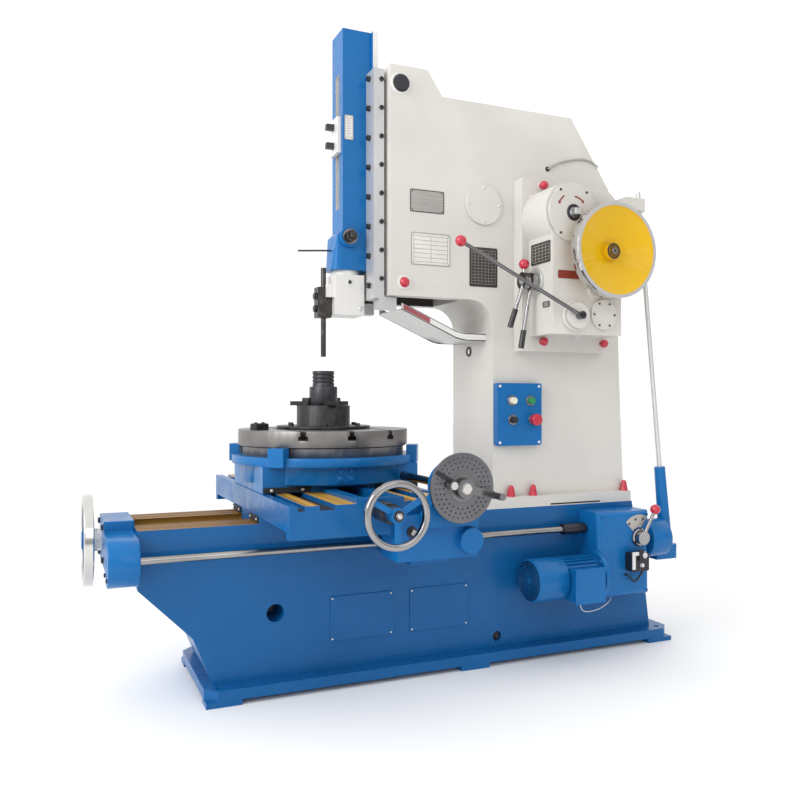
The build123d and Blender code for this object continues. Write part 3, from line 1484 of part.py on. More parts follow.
with BuildPart() as apron:
    block(apron_left, apron_right, apron_front, -saddle_half_width, apron_bottom, apron_top)
    block(apron_left, apron_right, -saddle_half_width, apron_rear, apron_bottom, lip_bottom)
    block(apron_neck_left, apron_neck_right, apron_rear, apron_neck_rear, apron_neck_bottom, wing_bottom)
    block(apron_neck_left, apron_neck_right, -saddle_half_width + lip_width, apron_rear,
          lip_bottom, wing_bottom)
    bar_y(apron_boss_front, apron_front, apron_boss_x, apron_boss_z, apron_boss_radius)
    with BuildSketch(Plane.XZ.offset(-index_bracket_back)):
        with Locations((index_x, index_z)):
            Circle(index_bracket_radius)
        Polygon(
            (index_bracket_left, wing_bottom),
            (index_bracket_right, wing_bottom),
            (index_bracket_right, index_z),
            (index_bracket_left + index_bracket_radius / 2, index_z),
            (index_bracket_left, apron_top),
            align=None,
        )
    extrude(amount=index_bracket_back - index_bracket_front)
    bar_y(index_bracket_front, index_bracket_back, index_x, index_z,
          index_shaft_radius + running_clearance, Mode.SUBTRACT)
    bar_x(apron_neck_left, apron_neck_right, feed_shaft_y, feed_shaft_z,
          feed_shaft_radius + free_clearance, Mode.SUBTRACT)
apron.part.label = "apron"
export_step(apron.part, "parts/apron.step")

with BuildPart() as long_lead_screw:
    bar_x(bed_left, channel_end - free_clearance, 0, long_screw_z, long_screw_radius)
    bar_x(long_wheel_left + screw_end_inset, bed_left, 0, long_screw_z, long_journal_radius)
    bar_x(channel_end - free_clearance, channel_end + long_screw_tail - free_clearance, 0, long_screw_z,
          long_journal_radius)
long_lead_screw.part.label = "long_lead_screw"
export_step(long_lead_screw.part, "parts/long_lead_screw.step")

long_wheel_middle = (long_wheel_left + long_wheel_right) / 2

with BuildPart() as long_handwheel:
    with BuildSketch(Plane(origin=(long_wheel_middle, 0, long_screw_z), x_dir=(1, 0, 0), z_dir=(0, -1, 0))):
        with Locations((0, long_wheel_radius - long_wheel_rim)):
            RectangleRounded(long_rim_width, 2 * long_wheel_rim, long_rim_corner)
    revolve(axis=Axis((0, 0, long_screw_z), (1, 0, 0)))
    wheel_side = Plane(origin=(long_wheel_middle, 0, long_screw_z), x_dir=(0, 1, 0), z_dir=(1, 0, 0))
    with BuildSketch(wheel_side):
        with PolarLocations(long_wheel_radius / 2, 3, start_angle=long_spoke_turn):
            Rectangle(long_wheel_radius - 2 * long_wheel_rim, 2 * spoke_radius)
    extrude(amount=spoke_radius / 2, both=True)
    bar_x(long_wheel_left, long_wheel_right, 0, long_screw_z, long_wheel_hub_radius)
    bar_x(long_wheel_right, bracket_left - slide_clearance, 0, long_screw_z, long_dial_radius)
    bar_x(long_wheel_left + screw_end_inset, bracket_left, 0, long_screw_z,
          long_journal_radius, Mode.SUBTRACT)
long_handwheel.part.label = "long_handwheel"
export_step(long_handwheel.part, "parts/long_handwheel.step")

with BuildPart() as cross_slide:
    block(table_x - cross_half_length, table_x + cross_half_length, -cross_half_width, cross_half_width,
          saddle_top + slide_clearance, cross_body_top)
    bar_z(cross_drum_bottom, cross_body_top, table_x, 0, cross_drum_radius)
    block(table_x - cross_pad_shift - cross_pad_half, table_x - cross_pad_shift + cross_pad_half,
          -cross_drum_radius - cross_pad_proud, -cross_half_width, cross_pad_bottom, cross_body_top)
    bar_z(cross_body_top, cross_flange_top, table_x, 0, cross_flange_radius)
    for lug_angle in cross_lug_angles:
        with Locations(Location((table_x, 0, cross_body_top), (0, 0, lug_angle))):
            Box(cross_lug_radius, cross_lug_width, cross_lug_top - cross_body_top,
                align=(Align.MIN, Align.CENTER, Align.MIN))
    bar_z(cross_flange_top, cross_lug_top, table_x, 0, table_radius + table_rim_gap, Mode.SUBTRACT)
    bar_z(wheel_well_floor, cross_lug_top, table_x, 0, wheel_well_radius, Mode.SUBTRACT)
    block(table_x - cross_guide_half - slide_clearance, table_x + cross_guide_half + slide_clearance,
          -cross_half_width, cross_half_width, saddle_top, cross_guide_top + slide_clearance, Mode.SUBTRACT)
    block(table_x - cross_nut_half, table_x + cross_nut_half, -cross_nut_half_width, cross_nut_half_width,
          cross_nut_bottom, cross_guide_top + slide_clearance)
    bar_y(-cross_nut_half_width, cross_nut_half_width, table_x, cross_screw_z,
          cross_screw_radius + running_clearance, Mode.SUBTRACT)
    bar_y(-worm_chamber_half, worm_chamber_half, index_x, index_z, worm_chamber_radius, Mode.SUBTRACT)
    bar_y(-worm_hub_half_length - free_clearance, worm_hub_half_length + free_clearance, index_x, index_z,
          worm_hub_radius + running_clearance, Mode.SUBTRACT)
    bar_y(-cross_half_width, cross_half_width, index_x, index_z,
          index_shaft_radius + free_clearance, Mode.SUBTRACT)
cross_slide.part.label = "cross_slide"
export_step(cross_slide.part, "parts/cross_slide.step")

with BuildPart() as cross_lead_screw:
    bar_y(-cross_channel_end + free_clearance, cross_channel_end - free_clearance,
          table_x, cross_screw_z, cross_screw_radius)
    bar_y(cross_wheel_front + screw_end_inset, -cross_channel_end + free_clearance,
          table_x, cross_screw_z, cross_journal_radius)
    bar_y(cross_channel_end - free_clearance, cross_tail, table_x, cross_screw_z, cross_journal_radius)
cross_lead_screw.part.label = "cross_lead_screw"
export_step(cross_lead_screw.part, "parts/cross_lead_screw.step")

cross_wheel_middle = (cross_wheel_front + cross_wheel_back) / 2

with BuildPart() as cross_handwheel:
    with BuildSketch(Plane(origin=(table_x, cross_wheel_middle, cross_screw_z), x_dir=(1, 0, 0),
                           z_dir=(0, 0, 1))):
        with Locations((cross_wheel_radius - cross_wheel_rim, 0)):
            RectangleRounded(2 * cross_wheel_rim, cross_wheel_back - cross_wheel_front, cross_rim_corner)
    revolve(axis=Axis((table_x, 0, cross_screw_z), (0, 1, 0)))
    with BuildSketch(Plane.XZ.offset(-cross_wheel_middle)):
        with Locations((table_x, cross_screw_z)):
            with PolarLocations(cross_wheel_radius / 2, 3, start_angle=cross_spoke_turn):
                Rectangle(cross_wheel_radius - 2 * cross_wheel_rim, 2 * spoke_radius)
    extrude(amount=spoke_radius / 2, both=True)
    bar_y(cross_wheel_front, cross_dial_front, table_x, cross_screw_z, cross_wheel_hub_radius)
    bar_y(cross_dial_front, -saddle_half_width - slide_clearance, table_x, cross_screw_z, cross_dial_radius)
    bar_y(cross_wheel_front + screw_end_inset, -saddle_half_width, table_x, cross_screw_z,
          cross_journal_radius, Mode.SUBTRACT)
cross_handwheel.part.label = "cross_handwheel"
export_step(cross_handwheel.part, "parts/cross_handwheel.step")

# indexing

with BuildPart() as index_plate:
    bar_y(index_plate_front, index_plate_back, index_x, index_z, index_plate_radius)
    bar_y(index_plate_back, index_bracket_front, index_x, index_z, index_hub_radius)
    with BuildSketch(Plane.XZ.offset(-index_plate_back)):
        with Locations((index_x, index_z)):
            for hole_row, hole_count in zip(index_hole_rows, index_hole_counts):
                with PolarLocations(hole_row, hole_count):
                    Circle(index_hole_radius)
    extrude(amount=index_plate_back - index_plate_front, mode=Mode.SUBTRACT)
    bar_y(index_plate_front, index_bracket_front, index_x, index_z,
          index_shaft_radius + running_clearance, Mode.SUBTRACT)
index_plate.part.label = "index_plate"
export_step(index_plate.part, "parts/index_plate.step")

crank_arm_frame = Location((index_x, 0, index_z), (0, -crank_arm_angle, 0))
crank_knob_spot = (crank_arm_frame * Location((crank_arm_radius, 0, 0))).position
plunger_spot = (crank_arm_frame * Location((-plunger_radius_on_arm, 0, 0))).position

with BuildPart() as index_crank:
    bar_y(crank_arm_front, index_shaft_tail, index_x, index_z, index_shaft_radius)
    bar_y(crank_arm_front - crank_hub_proud, crank_arm_back, index_x, index_z, index_hub_radius)
    arm_length = crank_arm_radius + plunger_radius_on_arm
    arm_middle = (crank_arm_radius - plunger_radius_on_arm) / 2
    with Locations(crank_arm_frame * Location((arm_middle, (crank_arm_front + crank_arm_back) / 2, 0))):
        Box(arm_length, crank_arm_back - crank_arm_front, crank_arm_width)
    bar_y(crank_knob_front, crank_arm_back, crank_knob_spot.X, crank_knob_spot.Z, crank_knob_radius)
    bar_y(plunger_front, crank_arm_back, plunger_spot.X, plunger_spot.Z, plunger_radius)
index_crank.part.label = "index_crank"
export_step(index_crank.part, "parts/index_crank.step")

with BuildPart() as table_worm:
    bar_y(-worm_half_length, worm_half_length, index_x, index_z, worm_radius)
    bar_y(-worm_hub_half_length, worm_hub_half_length, index_x, index_z, worm_hub_radius)
    bar_y(-worm_hub_half_length, worm_hub_half_length, index_x, index_z,
          index_shaft_radius + running_clearance, Mode.SUBTRACT)
table_worm.part.label = "table_worm"
export_step(table_worm.part, "parts/table_worm.step")

# table, chuck and work

with BuildPart() as rotary_table:
    bar_z(table_band_bottom, table_top, table_x, 0, table_radius)
    bar_z(cross_flange_top + slide_clearance, table_band_bottom, table_x, 0, table_skirt_radius)
    bar_z(table_boss_bottom, cross_flange_top + slide_clearance, table_x, 0, table_boss_radius)
    neck_bottom = table_top - t_slot_neck_depth
    for slot_offset in (-t_slot_pitch, 0, t_slot_pitch):
        with Locations(Location((table_x, 0, 0), (0, 0, t_slot_angle))):
            with Locations((slot_offset, 0, neck_bottom)):
                Box(t_slot_width, 2 * table_radius, t_slot_neck_depth,
                    align=(Align.CENTER, Align.CENTER, Align.MIN), mode=Mode.SUBTRACT)
                Box(t_slot_head_width, 2 * table_radius, t_slot_head_depth,
                    align=(Align.CENTER, Align.CENTER, Align.MAX), mode=Mode.SUBTRACT)
    bar_z(table_boss_bottom, table_top, table_x, 0, table_bore, Mode.SUBTRACT)
rotary_table.part.label = "rotary_table"
export_step(rotary_table.part, "parts/rotary_table.step")

with BuildPart() as worm_wheel:
    bar_z(worm_wheel_bottom, worm_wheel_top, table_x, 0, worm_wheel_radius)
    bar_z(worm_wheel_bottom, worm_wheel_top, table_x, 0, table_boss_radius, Mode.SUBTRACT)
worm_wheel.part.label = "worm_wheel"
export_step(worm_wheel.part, "parts/worm_wheel.step")

with BuildPart() as chuck_body:
    bar_z(table_top, chuck_plate_top, table_x, 0, chuck_plate_radius)
    bar_z(chuck_plate_top, chuck_top, table_x, 0, chuck_radius)
    bar_z(table_top, chuck_top, table_x, 0, chuck_bore, Mode.SUBTRACT)
chuck_body.part.label = "chuck_body"
export_step(chuck_body.part, "parts/chuck_body.step")

jaw_inner = work_radius + jaw_grip_gap
for jaw_number, jaw_angle in enumerate(jaw_angles, start=1):
    with BuildPart() as chuck_jaw:
        with Locations(Location((table_x, 0, chuck_top), (0, 0, jaw_angle))):
            with Locations((jaw_inner, 0, 0)):
                Box(jaw_outer - jaw_inner, jaw_width, jaw_step_top - chuck_top,
                    align=(Align.MIN, Align.CENTER, Align.MIN))
                Box(jaw_step - jaw_inner, jaw_width, jaw_top - chuck_top,
                    align=(Align.MIN, Align.CENTER, Align.MIN))
    chuck_jaw.part.label = f"chuck_jaw_{jaw_number}"
    export_step(chuck_jaw.part, f"parts/chuck_jaw_{jaw_number}.step")

with BuildPart() as workpiece_sleeve:
    bar_z(chuck_top, work_collar_top, table_x, 0, work_radius)
    bar_z(work_collar_top, work_top, table_x, 0, work_upper_radius)
    for groove_index in range(1, work_groove_count + 1):
        groove_z = work_collar_top + groove_index * work_groove_pitch
        with BuildSketch(Plane(origin=(table_x, 0, groove_z))):
            Circle(work_upper_radius)
            Circle(work_groove_radius, mode=Mode.SUBTRACT)
        extrude(amount=work_groove_width, mode=Mode.SUBTRACT)
    bar_z(chuck_top, work_top, table_x, 0, work_bore, Mode.SUBTRACT)
workpiece_sleeve.part.label = "workpiece_sleeve"
export_step(workpiece_sleeve.part, "parts/workpiece_sleeve.step")
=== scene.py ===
"""Vertical slotting machine: finishes, small fittings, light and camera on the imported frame.

Metres, in the frame's own axes: +Z up, +X along the bed toward the column, -Y the gearbox side.
"""
import logging
from collections.abc import Callable, Iterable, Sequence
from dataclasses import dataclass
from enum import Enum
from itertools import product
from math import cos, hypot, pi, radians, sin

import bmesh
import bpy
from mathutils import Matrix, Vector


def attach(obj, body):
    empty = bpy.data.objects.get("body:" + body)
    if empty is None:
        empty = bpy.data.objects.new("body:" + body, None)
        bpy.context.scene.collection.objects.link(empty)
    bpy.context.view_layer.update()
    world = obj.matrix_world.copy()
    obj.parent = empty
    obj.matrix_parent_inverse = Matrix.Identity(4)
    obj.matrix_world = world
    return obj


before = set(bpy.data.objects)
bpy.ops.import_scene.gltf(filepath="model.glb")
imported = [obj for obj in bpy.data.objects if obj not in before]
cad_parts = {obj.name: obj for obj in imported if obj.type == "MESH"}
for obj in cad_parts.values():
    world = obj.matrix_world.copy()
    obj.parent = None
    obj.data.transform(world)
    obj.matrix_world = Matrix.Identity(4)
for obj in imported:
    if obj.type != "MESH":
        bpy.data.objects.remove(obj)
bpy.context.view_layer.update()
log = logging.getLogger("slotter")

Pair = tuple[float, float]
Point = tuple[float, float, float]
Colour = tuple[float, float, float, float]
Socket = bpy.types.NodeSocket
Rule = Callable[[Vector, Vector], bool]
# How much of a normal points one way: on a face that looks that way, on a plumb line, on a slanted face.
FACING = 0.9
PLUMB = 0.99
SLANTED = 0.5
# A radius below this is a point, and a bend sharper than this many degrees stays a crisp edge.
NO_RADIUS = 1e-6
SMOOTH_ANGLE = 38
# How round the screw heads are, and the angles, in radians, of the points on a dome's curve.
SCREW_SIDES = 18
DOME_ANGLES = (0, 0.3, 0.6, 0.9, 1.2)


def light_of(code: str, gain: float = 1.0) -> Colour:
    """Turns a six-figure screen colour into linear light.

    Args:
        code: Red, green and blue as six hexadecimal figures.
        gain: How much lighter or darker the result is.

    Returns:
        Linear red, green, blue and a full alpha.
    """
    parts = [int(code[i:i + 2], 16) / 255 for i in (0, 2, 4)]
    linear = [p / 12.92 if p <= 0.04045 else ((p + 0.055) / 1.055) ** 2.4 for p in parts]
    return (*(min(1.0, p * gain) for p in linear), 1.0)


def shifted(place: Matrix, x: float = 0.0, y: float = 0.0, z: float = 0.0) -> Matrix:
    """Gives a frame moved along its own axes."""
    return place @ Matrix.Translation((x, y, z))


def turned(place: Matrix, degrees: float) -> Matrix:
    """Gives a frame turned about its own Z."""
    return place @ Matrix.Rotation(radians(degrees), 4, "Z")


def frame_along(centre: Vector, outward: Vector, turn: float = 0.0) -> Matrix:
    """Gives a frame whose Z points a given way and whose Y stays as upright as it can.

    Args:
        centre: Where the frame stands.
        outward: The way its Z points.
        turn: Degrees that it is turned about that way.

    Returns:
        The frame as a matrix.
    """
    ahead = outward.normalized()
    upright = Vector((0, 1, 0)) if abs(ahead.z) > PLUMB else Vector((0, 0, 1))
    across = upright.cross(ahead).normalized()
    axes = Matrix((across, ahead.cross(across), ahead)).transposed().to_4x4()
    return turned(Matrix.Translation(centre) @ axes, turn)


class Side(Enum):
    """The way a face of the machine looks."""

    FRONT = (0.0, -1.0, 0.0)
    BACK = (0.0, 1.0, 0.0)
    LEFT = (-1.0, 0.0, 0.0)
    RIGHT = (1.0, 0.0, 0.0)
    TOP = (0.0, 0.0, 1.0)
    BOTTOM = (0.0, 0.0, -1.0)

    def at(self, x: float, y: float, z: float, turn: float = 0.0) -> Matrix:
        """Gives a frame at a place of a face, its Z outward, turned about that way by degrees."""
        return frame_along(Vector((x, y, z)), Vector(self.value), turn)

    def flank(self, x: float, z: float, depth: float) -> Matrix:
        """Gives a frame on a front or back face that stands a depth out from the middle plane."""
        return self.at(x, self.value[1] * depth, z)


FLANKS = (Side.FRONT, Side.BACK)


class Axis(Enum):
    """An axis of the frame, by its place in a vector."""

    X = 0
    Y = 1
    Z = 2


class Body(Enum):
    """The bodies that the fittings ride on."""

    FRAME = "frame"
    MAIN_DRIVE = "main_drive"
    CLUTCH = "clutch"
    GUIDE = "guide"
    RAM = "ram_slide"
    CLAPPER = "clapper"
    CARRIAGE = "carriage"
    LONG_DRIVE = "long_drive"
    CROSS_DRIVE = "cross_drive"
    INDEX_DRIVE = "index_drive"
    CROSS_CARRIAGE = "cross_carriage"
    TABLE = "table"


class Slot(Enum):
    """The material slots that the fittings are listed with."""

    GROUND_STEEL = "ground_steel"
    POLISHED_STEEL = "polished_steel"
    BLACK_STEEL = "black_steel"
    RUBBER = "belt_rubber"
    BLUE_PAINT = "blue_paint"
    GREY_PAINT = "grey_paint"
    RED_PLASTIC = "red_plastic"
    GREEN_PLASTIC = "green_plastic"


class Grain(Enum):
    """The way that tool marks run, as the stretch of their noise along X, Y and Z."""

    ALONG_X = (5.0, 500.0, 500.0)
    ALONG_Y = (500.0, 5.0, 500.0)
    ALONG_Z = (500.0, 500.0, 5.0)
    LEVEL = (20.0, 20.0, 600.0)


def set_sockets(node: bpy.types.Node, **values: float | Sequence[float]) -> None:
    """Sets a node's inputs by socket name, with _ for a space."""
    for name, value in values.items():
        node.inputs[name.replace("_", " ")].default_value = value


class Graph:
    """A material's nodes, with short calls for what the finishes share."""

    def __init__(self, material: bpy.types.Material) -> None:
        """Opens a new material's node tree.

        Args:
            material: The material.
        """
        self.tree = material.node_tree
        self.shader = self.tree.nodes["Principled BSDF"]
        self.place = self.tree.nodes.new("ShaderNodeTexCoord").outputs["Object"]

    def _node(self, kind: str, entry: str, source: Socket,
              **values: float | Sequence[float]) -> bpy.types.Node:
        """Adds a node with one socket fed by a source.

        Args:
            kind: The node's kind.
            entry: The socket that the source feeds.
            source: What is led into it.
            values: Values of other sockets, by name with _ for a space.

        Returns:
            The node.
        """
        node = self.tree.nodes.new("ShaderNode" + kind)
        self.tree.links.new(source, node.inputs[entry])
        set_sockets(node, **values)
        return node

    def still(self, **values: float) -> None:
        """Sets shader values that are the same all over."""
        set_sockets(self.shader, **values)

    def drive(self, socket: str, source: Socket) -> None:
        """Leads a node's output into one of the shader's sockets."""
        self.tree.links.new(source, self.shader.inputs[socket])

    def moved(self, stretch: Point, shift: Point = (0, 0, 0)) -> Socket:
        """Gives the place on the piece, shifted by metres and then stretched."""
        start = [s * k for s, k in zip(shift, stretch)]
        return self._node("Mapping", "Vector", self.place, Scale=stretch, Location=start).outputs["Vector"]

    def noise(self, scale: float, detail: float, place: Socket | None = None) -> Socket:
        """Gives cloudy noise from 0 to 1, with a number of clouds to the metre."""
        node = self._node("TexNoise", "Vector", place or self.place, Scale=scale, Detail=detail)
        return node.outputs["Fac"]

    def rings(self, centre: Point, axis: Axis, pitch: float) -> Socket:
        """Gives fine turning marks around an axis.

        Args:
            centre: A point on the axis.
            axis: The way it runs.
            pitch: Metres from mark to mark.

        Returns:
            The marks from 0 to 1.
        """
        place = self.moved((1, 1, 1), tuple(-c for c in centre))
        scale = pi / (10 * pitch)
        node = self._node("TexWave", "Vector", place, Scale=scale, Distortion=0.6, Detail_Scale=3.0)
        node.wave_type, node.rings_direction = "RINGS", axis.name
        return node.outputs["Fac"]

    def tint(self, source: Socket, stops: Sequence[tuple[float, Colour]]) -> None:
        """Colours the shader by a value.

        Args:
            source: The value.
            stops: Places from 0 to 1 with the colour at each.
        """
        node = self._node("ValToRGB", "Fac", source)
        elements = node.color_ramp.elements
        for number, (position, colour) in enumerate((stops[0], stops[-1])):
            elements[number].position, elements[number].color = position, colour
        for position, colour in stops[1:-1]:
            elements.new(position).color = colour
        self.drive("Base Color", node.outputs["Color"])

    def vary(self, socket: str, source: Socket, low: float, high: float) -> None:
        """Varies a shader value between two limits with the middle of a source's range."""
        node = self._node("MapRange", "Value", source, From_Min=0.3, From_Max=0.7, To_Min=low, To_Max=high)
        self.drive(socket, node.outputs["Result"])

    def bump(self, height: Socket, strength: float, depth: float, over: Socket | None = None) -> Socket:
        """Gives a normal that follows a height.

        Args:
            height: The height from 0 to 1.
            strength: How much of it shows.
            depth: Metres from low to high.
            over: A normal that this one is laid over.

        Returns:
            The normal.
        """
        node = self._node("Bump", "Height", height, Strength=strength, Distance=depth)
        if over is not None:
            self.tree.links.new(over, node.inputs["Normal"])
        return node.outputs["Normal"]


@dataclass(frozen=True)
class Finish:
    """A surface finish that makes its material on first use."""

    name: str
    colour: str
    roughness: float = 0.4

    def material(self) -> bpy.types.Material:
        """Gives the finish's material.

        Returns:
            The material, made on first use.
        """
        known = bpy.data.materials.get(self.name)
        if known is not None:
            return known
        made = bpy.data.materials.new(self.name)
        made.use_nodes = True
        made.diffuse_color = light_of(self.colour)
        self.lay(Graph(made))
        return made

    def shades(self, *steps: Pair) -> list[tuple[float, Colour]]:
        """Gives colour stops from places and how light the colour is at each."""
        return [(place, light_of(self.colour, gain)) for place, gain in steps]

    def lay(self, graph: Graph) -> None:
        """Builds the finish's nodes; each kind of finish has its own."""
        raise NotImplementedError


@dataclass(frozen=True)
class CastPaint(Finish):
    """Gloss paint on a filled casting: soft patches, orange peel and a little grime."""

    peel: float = 0.05
    wave: float = 0.14
    grime: float = 0.84

    def lay(self, graph: Graph) -> None:
        """Builds the paint's nodes.

        Args:
            graph: The material's nodes.
        """
        patches = graph.noise(scale=2.6, detail=5.0)
        graph.tint(patches, self.shades((0.28, self.grime), (0.42, 0.95), (0.58, 1.0), (0.74, 1.08)))
        sheen = graph.noise(scale=17.0, detail=4.0)
        graph.vary("Roughness", sheen, self.roughness - 0.07, self.roughness + 0.10)
        filler = graph.bump(graph.noise(scale=7.0, detail=2.0), self.wave, depth=0.004)
        peel = graph.noise(scale=260.0, detail=2.0)
        graph.drive("Normal", graph.bump(peel, self.peel, depth=0.0008, over=filler))
        graph.still(Coat_Weight=0.08, Coat_Roughness=0.14, Specular_IOR_Level=0.25)


@dataclass(frozen=True)
class CutMetal(Finish):
    """Ground or scraped metal with straight tool marks."""

    grain: Grain = Grain.ALONG_Z
    metal: float = 1.0
    stain: float = 0.86
    score: float = 0.10

    def lay(self, graph: Graph) -> None:
        """Builds the metal's nodes.

        Args:
            graph: The material's nodes.
        """
        stains = graph.noise(scale=5.0, detail=5.0)
        graph.tint(stains, self.shades((0.30, self.stain), (0.55, 1.0), (0.75, 1.10)))
        marks = graph.noise(scale=1.0, detail=3.0, place=graph.moved(self.grain.value))
        graph.vary("Roughness", marks, self.roughness - self.score, self.roughness + self.score)
        graph.drive("Normal", graph.bump(marks, self.score, depth=0.0006))
        graph.still(Metallic=self.metal, Specular_IOR_Level=0.5)


@dataclass(frozen=True)
class TurnedMetal(Finish):
    """Metal off the lathe, with rings around its axis."""

    centre: Point = (0.0, 0.0, 0.0)
    axis: Axis = Axis.Z
    pitch: float = 0.0016

    def lay(self, graph: Graph) -> None:
        """Builds the metal's nodes.

        Args:
            graph: The material's nodes.
        """
        stains = graph.noise(scale=9.0, detail=5.0)
        graph.tint(stains, self.shades((0.30, 0.84), (0.55, 1.0), (0.75, 1.12)))
        graph.vary("Roughness", stains, self.roughness - 0.05, self.roughness + 0.10)
        rings = graph.rings(self.centre, self.axis, self.pitch)
        graph.drive("Normal", graph.bump(rings, strength=0.05, depth=0.0004))
        graph.still(Metallic=1.0, Specular_IOR_Level=0.5)


@dataclass(frozen=True)
class DarkSteel(Finish):
    """Blackened or oily steel with a mottled bloom."""

    bloom: str = "55504C"
    metal: float = 0.75

    def lay(self, graph: Graph) -> None:
        """Builds the steel's nodes.

        Args:
            graph: The material's nodes.
        """
        mottle = graph.noise(scale=38.0, detail=6.0)
        graph.tint(mottle, [*self.shades((0.30, 0.75), (0.56, 1.0)), (0.80, light_of(self.bloom))])
        graph.vary("Roughness", mottle, self.roughness - 0.08, self.roughness + 0.12)
        pores = graph.noise(scale=420.0, detail=3.0)
        graph.drive("Normal", graph.bump(pores, strength=0.12, depth=0.0006))
        graph.still(Metallic=self.metal, Specular_IOR_Level=0.5)


@dataclass(frozen=True)
class GreasedWay(Finish):
    """A scraped way under old grease, streaked along the slide."""

    thin: str = "8D7448"
    thick: str = "5A3A1A"
    grain: Grain = Grain.ALONG_X

    def lay(self, graph: Graph) -> None:
        """Builds the grease's nodes.

        Args:
            graph: The material's nodes.
        """
        streaks = graph.noise(scale=0.10, detail=5.0, place=graph.moved(self.grain.value))
        layers = ((0.30, self.thick), (0.48, self.colour), (0.70, self.thin))
        graph.tint(streaks, [(place, light_of(code)) for place, code in layers])
        graph.vary("Roughness", streaks, self.roughness, self.roughness + 0.22)
        graph.vary("Metallic", streaks, 0.0, 0.25)
        graph.drive("Normal", graph.bump(streaks, strength=0.20, depth=0.0010))
        graph.still(Coat_Weight=0.05, Coat_Roughness=0.25, Specular_IOR_Level=0.15)


@dataclass(frozen=True)
class Moulded(Finish):
    """Moulded plastic, rubber or enamel with a faint texture."""

    gloss_coat: float = 0.3
    texture: float = 0.08

    def lay(self, graph: Graph) -> None:
        """Builds the plastic's nodes.

        Args:
            graph: The material's nodes.
        """
        scuffs = graph.noise(scale=60.0, detail=5.0)
        graph.tint(scuffs, self.shades((0.30, 0.86), (0.60, 1.0), (0.80, 1.10)))
        graph.vary("Roughness", scuffs, self.roughness - 0.04, self.roughness + 0.10)
        pores = graph.noise(scale=700.0, detail=2.0)
        graph.drive("Normal", graph.bump(pores, self.texture, depth=0.0004))
        graph.still(Coat_Weight=self.gloss_coat, Coat_Roughness=0.10)


@dataclass(frozen=True)
class PaleFloor(Finish):
    """Matt pale floor with broad, hardly visible clouds."""

    def lay(self, graph: Graph) -> None:
        """Builds the floor's nodes."""
        graph.tint(graph.noise(scale=0.4, detail=2.0), self.shades((0.30, 0.97), (0.70, 1.0)))
        graph.still(Roughness=self.roughness, Specular_IOR_Level=0.2)


BLUE = CastPaint("machine_blue", "0E67A8", 0.30)
# A darker copy of the machine blue, used as painted shade on the bed, its covers, the saddle and the fan
# guard.
DARKENED_BLUE = CastPaint("bed_blue", "0D5C98", 0.30)
GREY = CastPaint("machine_grey", "D3D0CA", 0.36, peel=0.08, wave=0.16, grime=0.90)
WHITE = CastPaint("tray_white", "E2E1DE", 0.32, peel=0.04, wave=0.12, grime=0.90)
# Dark paint inside the column's hollow head: painted shade.
CAVITY_SHADE = CastPaint("casting_inside", "4B4845", 0.55, peel=0.08, wave=0.20, grime=0.70)
# Near-black blue for the feed motor cowl's end behind its guard: painted shade.
SHADE = CastPaint("cowl_shade", "061E3A", 0.50, grime=0.80)
YELLOW = CastPaint("wheel_yellow", "DDB012", 0.26, peel=0.05, wave=0.08, grime=0.88)
GUIDE = CutMetal("ground_guide", "C4C4C5", 0.38, metal=0.45, stain=0.93)
STEEL = CutMetal("ground_steel", "A4A2A0", 0.30)
SHAFT = CutMetal("feed_shaft_steel", "A5A29F", 0.24, Grain.ALONG_X)
ACROSS = CutMetal("cross_ground_steel", "B4B2B0", 0.30, Grain.ALONG_Y)
HEAD = CutMetal("head_steel", "DEDCD9", 0.40, metal=0.20, stain=0.95)
PLATE = CutMetal("bare_plate", "B9B5B0", 0.34, Grain.ALONG_X, 0.7)
PALE_PLATE = CutMetal("pale_plate", "E0DED6", 0.38, Grain.ALONG_X, 0.15)
LEVER = CutMetal("lever_steel", "7E7C7E", 0.20, Grain.LEVEL, score=0.02)
RIM = CutMetal("polished_rim", "A19FA0", 0.15, Grain.LEVEL, score=0.02)
CHROME = CutMetal("bright_rim", "D8D6D3", 0.13, Grain.LEVEL, score=0.03)
BRONZE = TurnedMetal("gear_bronze", "9C7434", 0.34, (-0.476, 0.0, 0.0), Axis.Z, 0.002)
TABLE = TurnedMetal("table_steel", "858280", 0.40, (-0.476, 0.0, 0.0), Axis.Z, 0.0014)
INDEX = TurnedMetal("index_plate_steel", "7A797C", 0.36, (-0.243, 0.0, 0.728), Axis.Y, 0.003)
DARK_PLATE = DarkSteel("dark_plate", "45423D", 0.40, "6A6659", 0.4)
BLACK = DarkSteel("black_steel", "1B1A1B", 0.38)
CHUCK = DarkSteel("chuck_steel", "3F3E40", 0.42, "5E5A56", 0.85)
TOOL = DarkSteel("tool_steel", "4A4846", 0.34, "7A7672", 0.9)
GEAR = DarkSteel("gear_steel", "5E5B57", 0.34, "8A8680", 0.95)
RED = Moulded("knob_red", "C21F38", 0.22, 0.6, 0.03)
RED_PLATE = Moulded("red_plate", "8E3B33", 0.42, 0.1)
RED_STRIP = Moulded("red_primer", "A8525A", 0.5, 0.0, 0.2)
GREEN = Moulded("button_green", "1F8A4C", 0.28, 0.5)
INK = Moulded("knob_black", "17171A", 0.32, 0.4)
LENS = Moulded("lamp_lens", "E9E4D2", 0.14, 0.9, 0.02)
RUBBER = Moulded("belt_rubber", "202022", 0.72, 0.0, 0.3)
FELT = Moulded("wiper_black", "1C1F26", 0.66, 0.0, 0.4)
WAY = GreasedWay("bed_way_grease", "7C5620", 0.46, "A57C38", "452A0C")
CROSS_WAY = GreasedWay("saddle_way_grease", "C08E2C", 0.24, "E0B85A", "6E4A1C", Grain.ALONG_Y)
FLOOR = PaleFloor("floor_pale", "F8F8F8", 0.7)


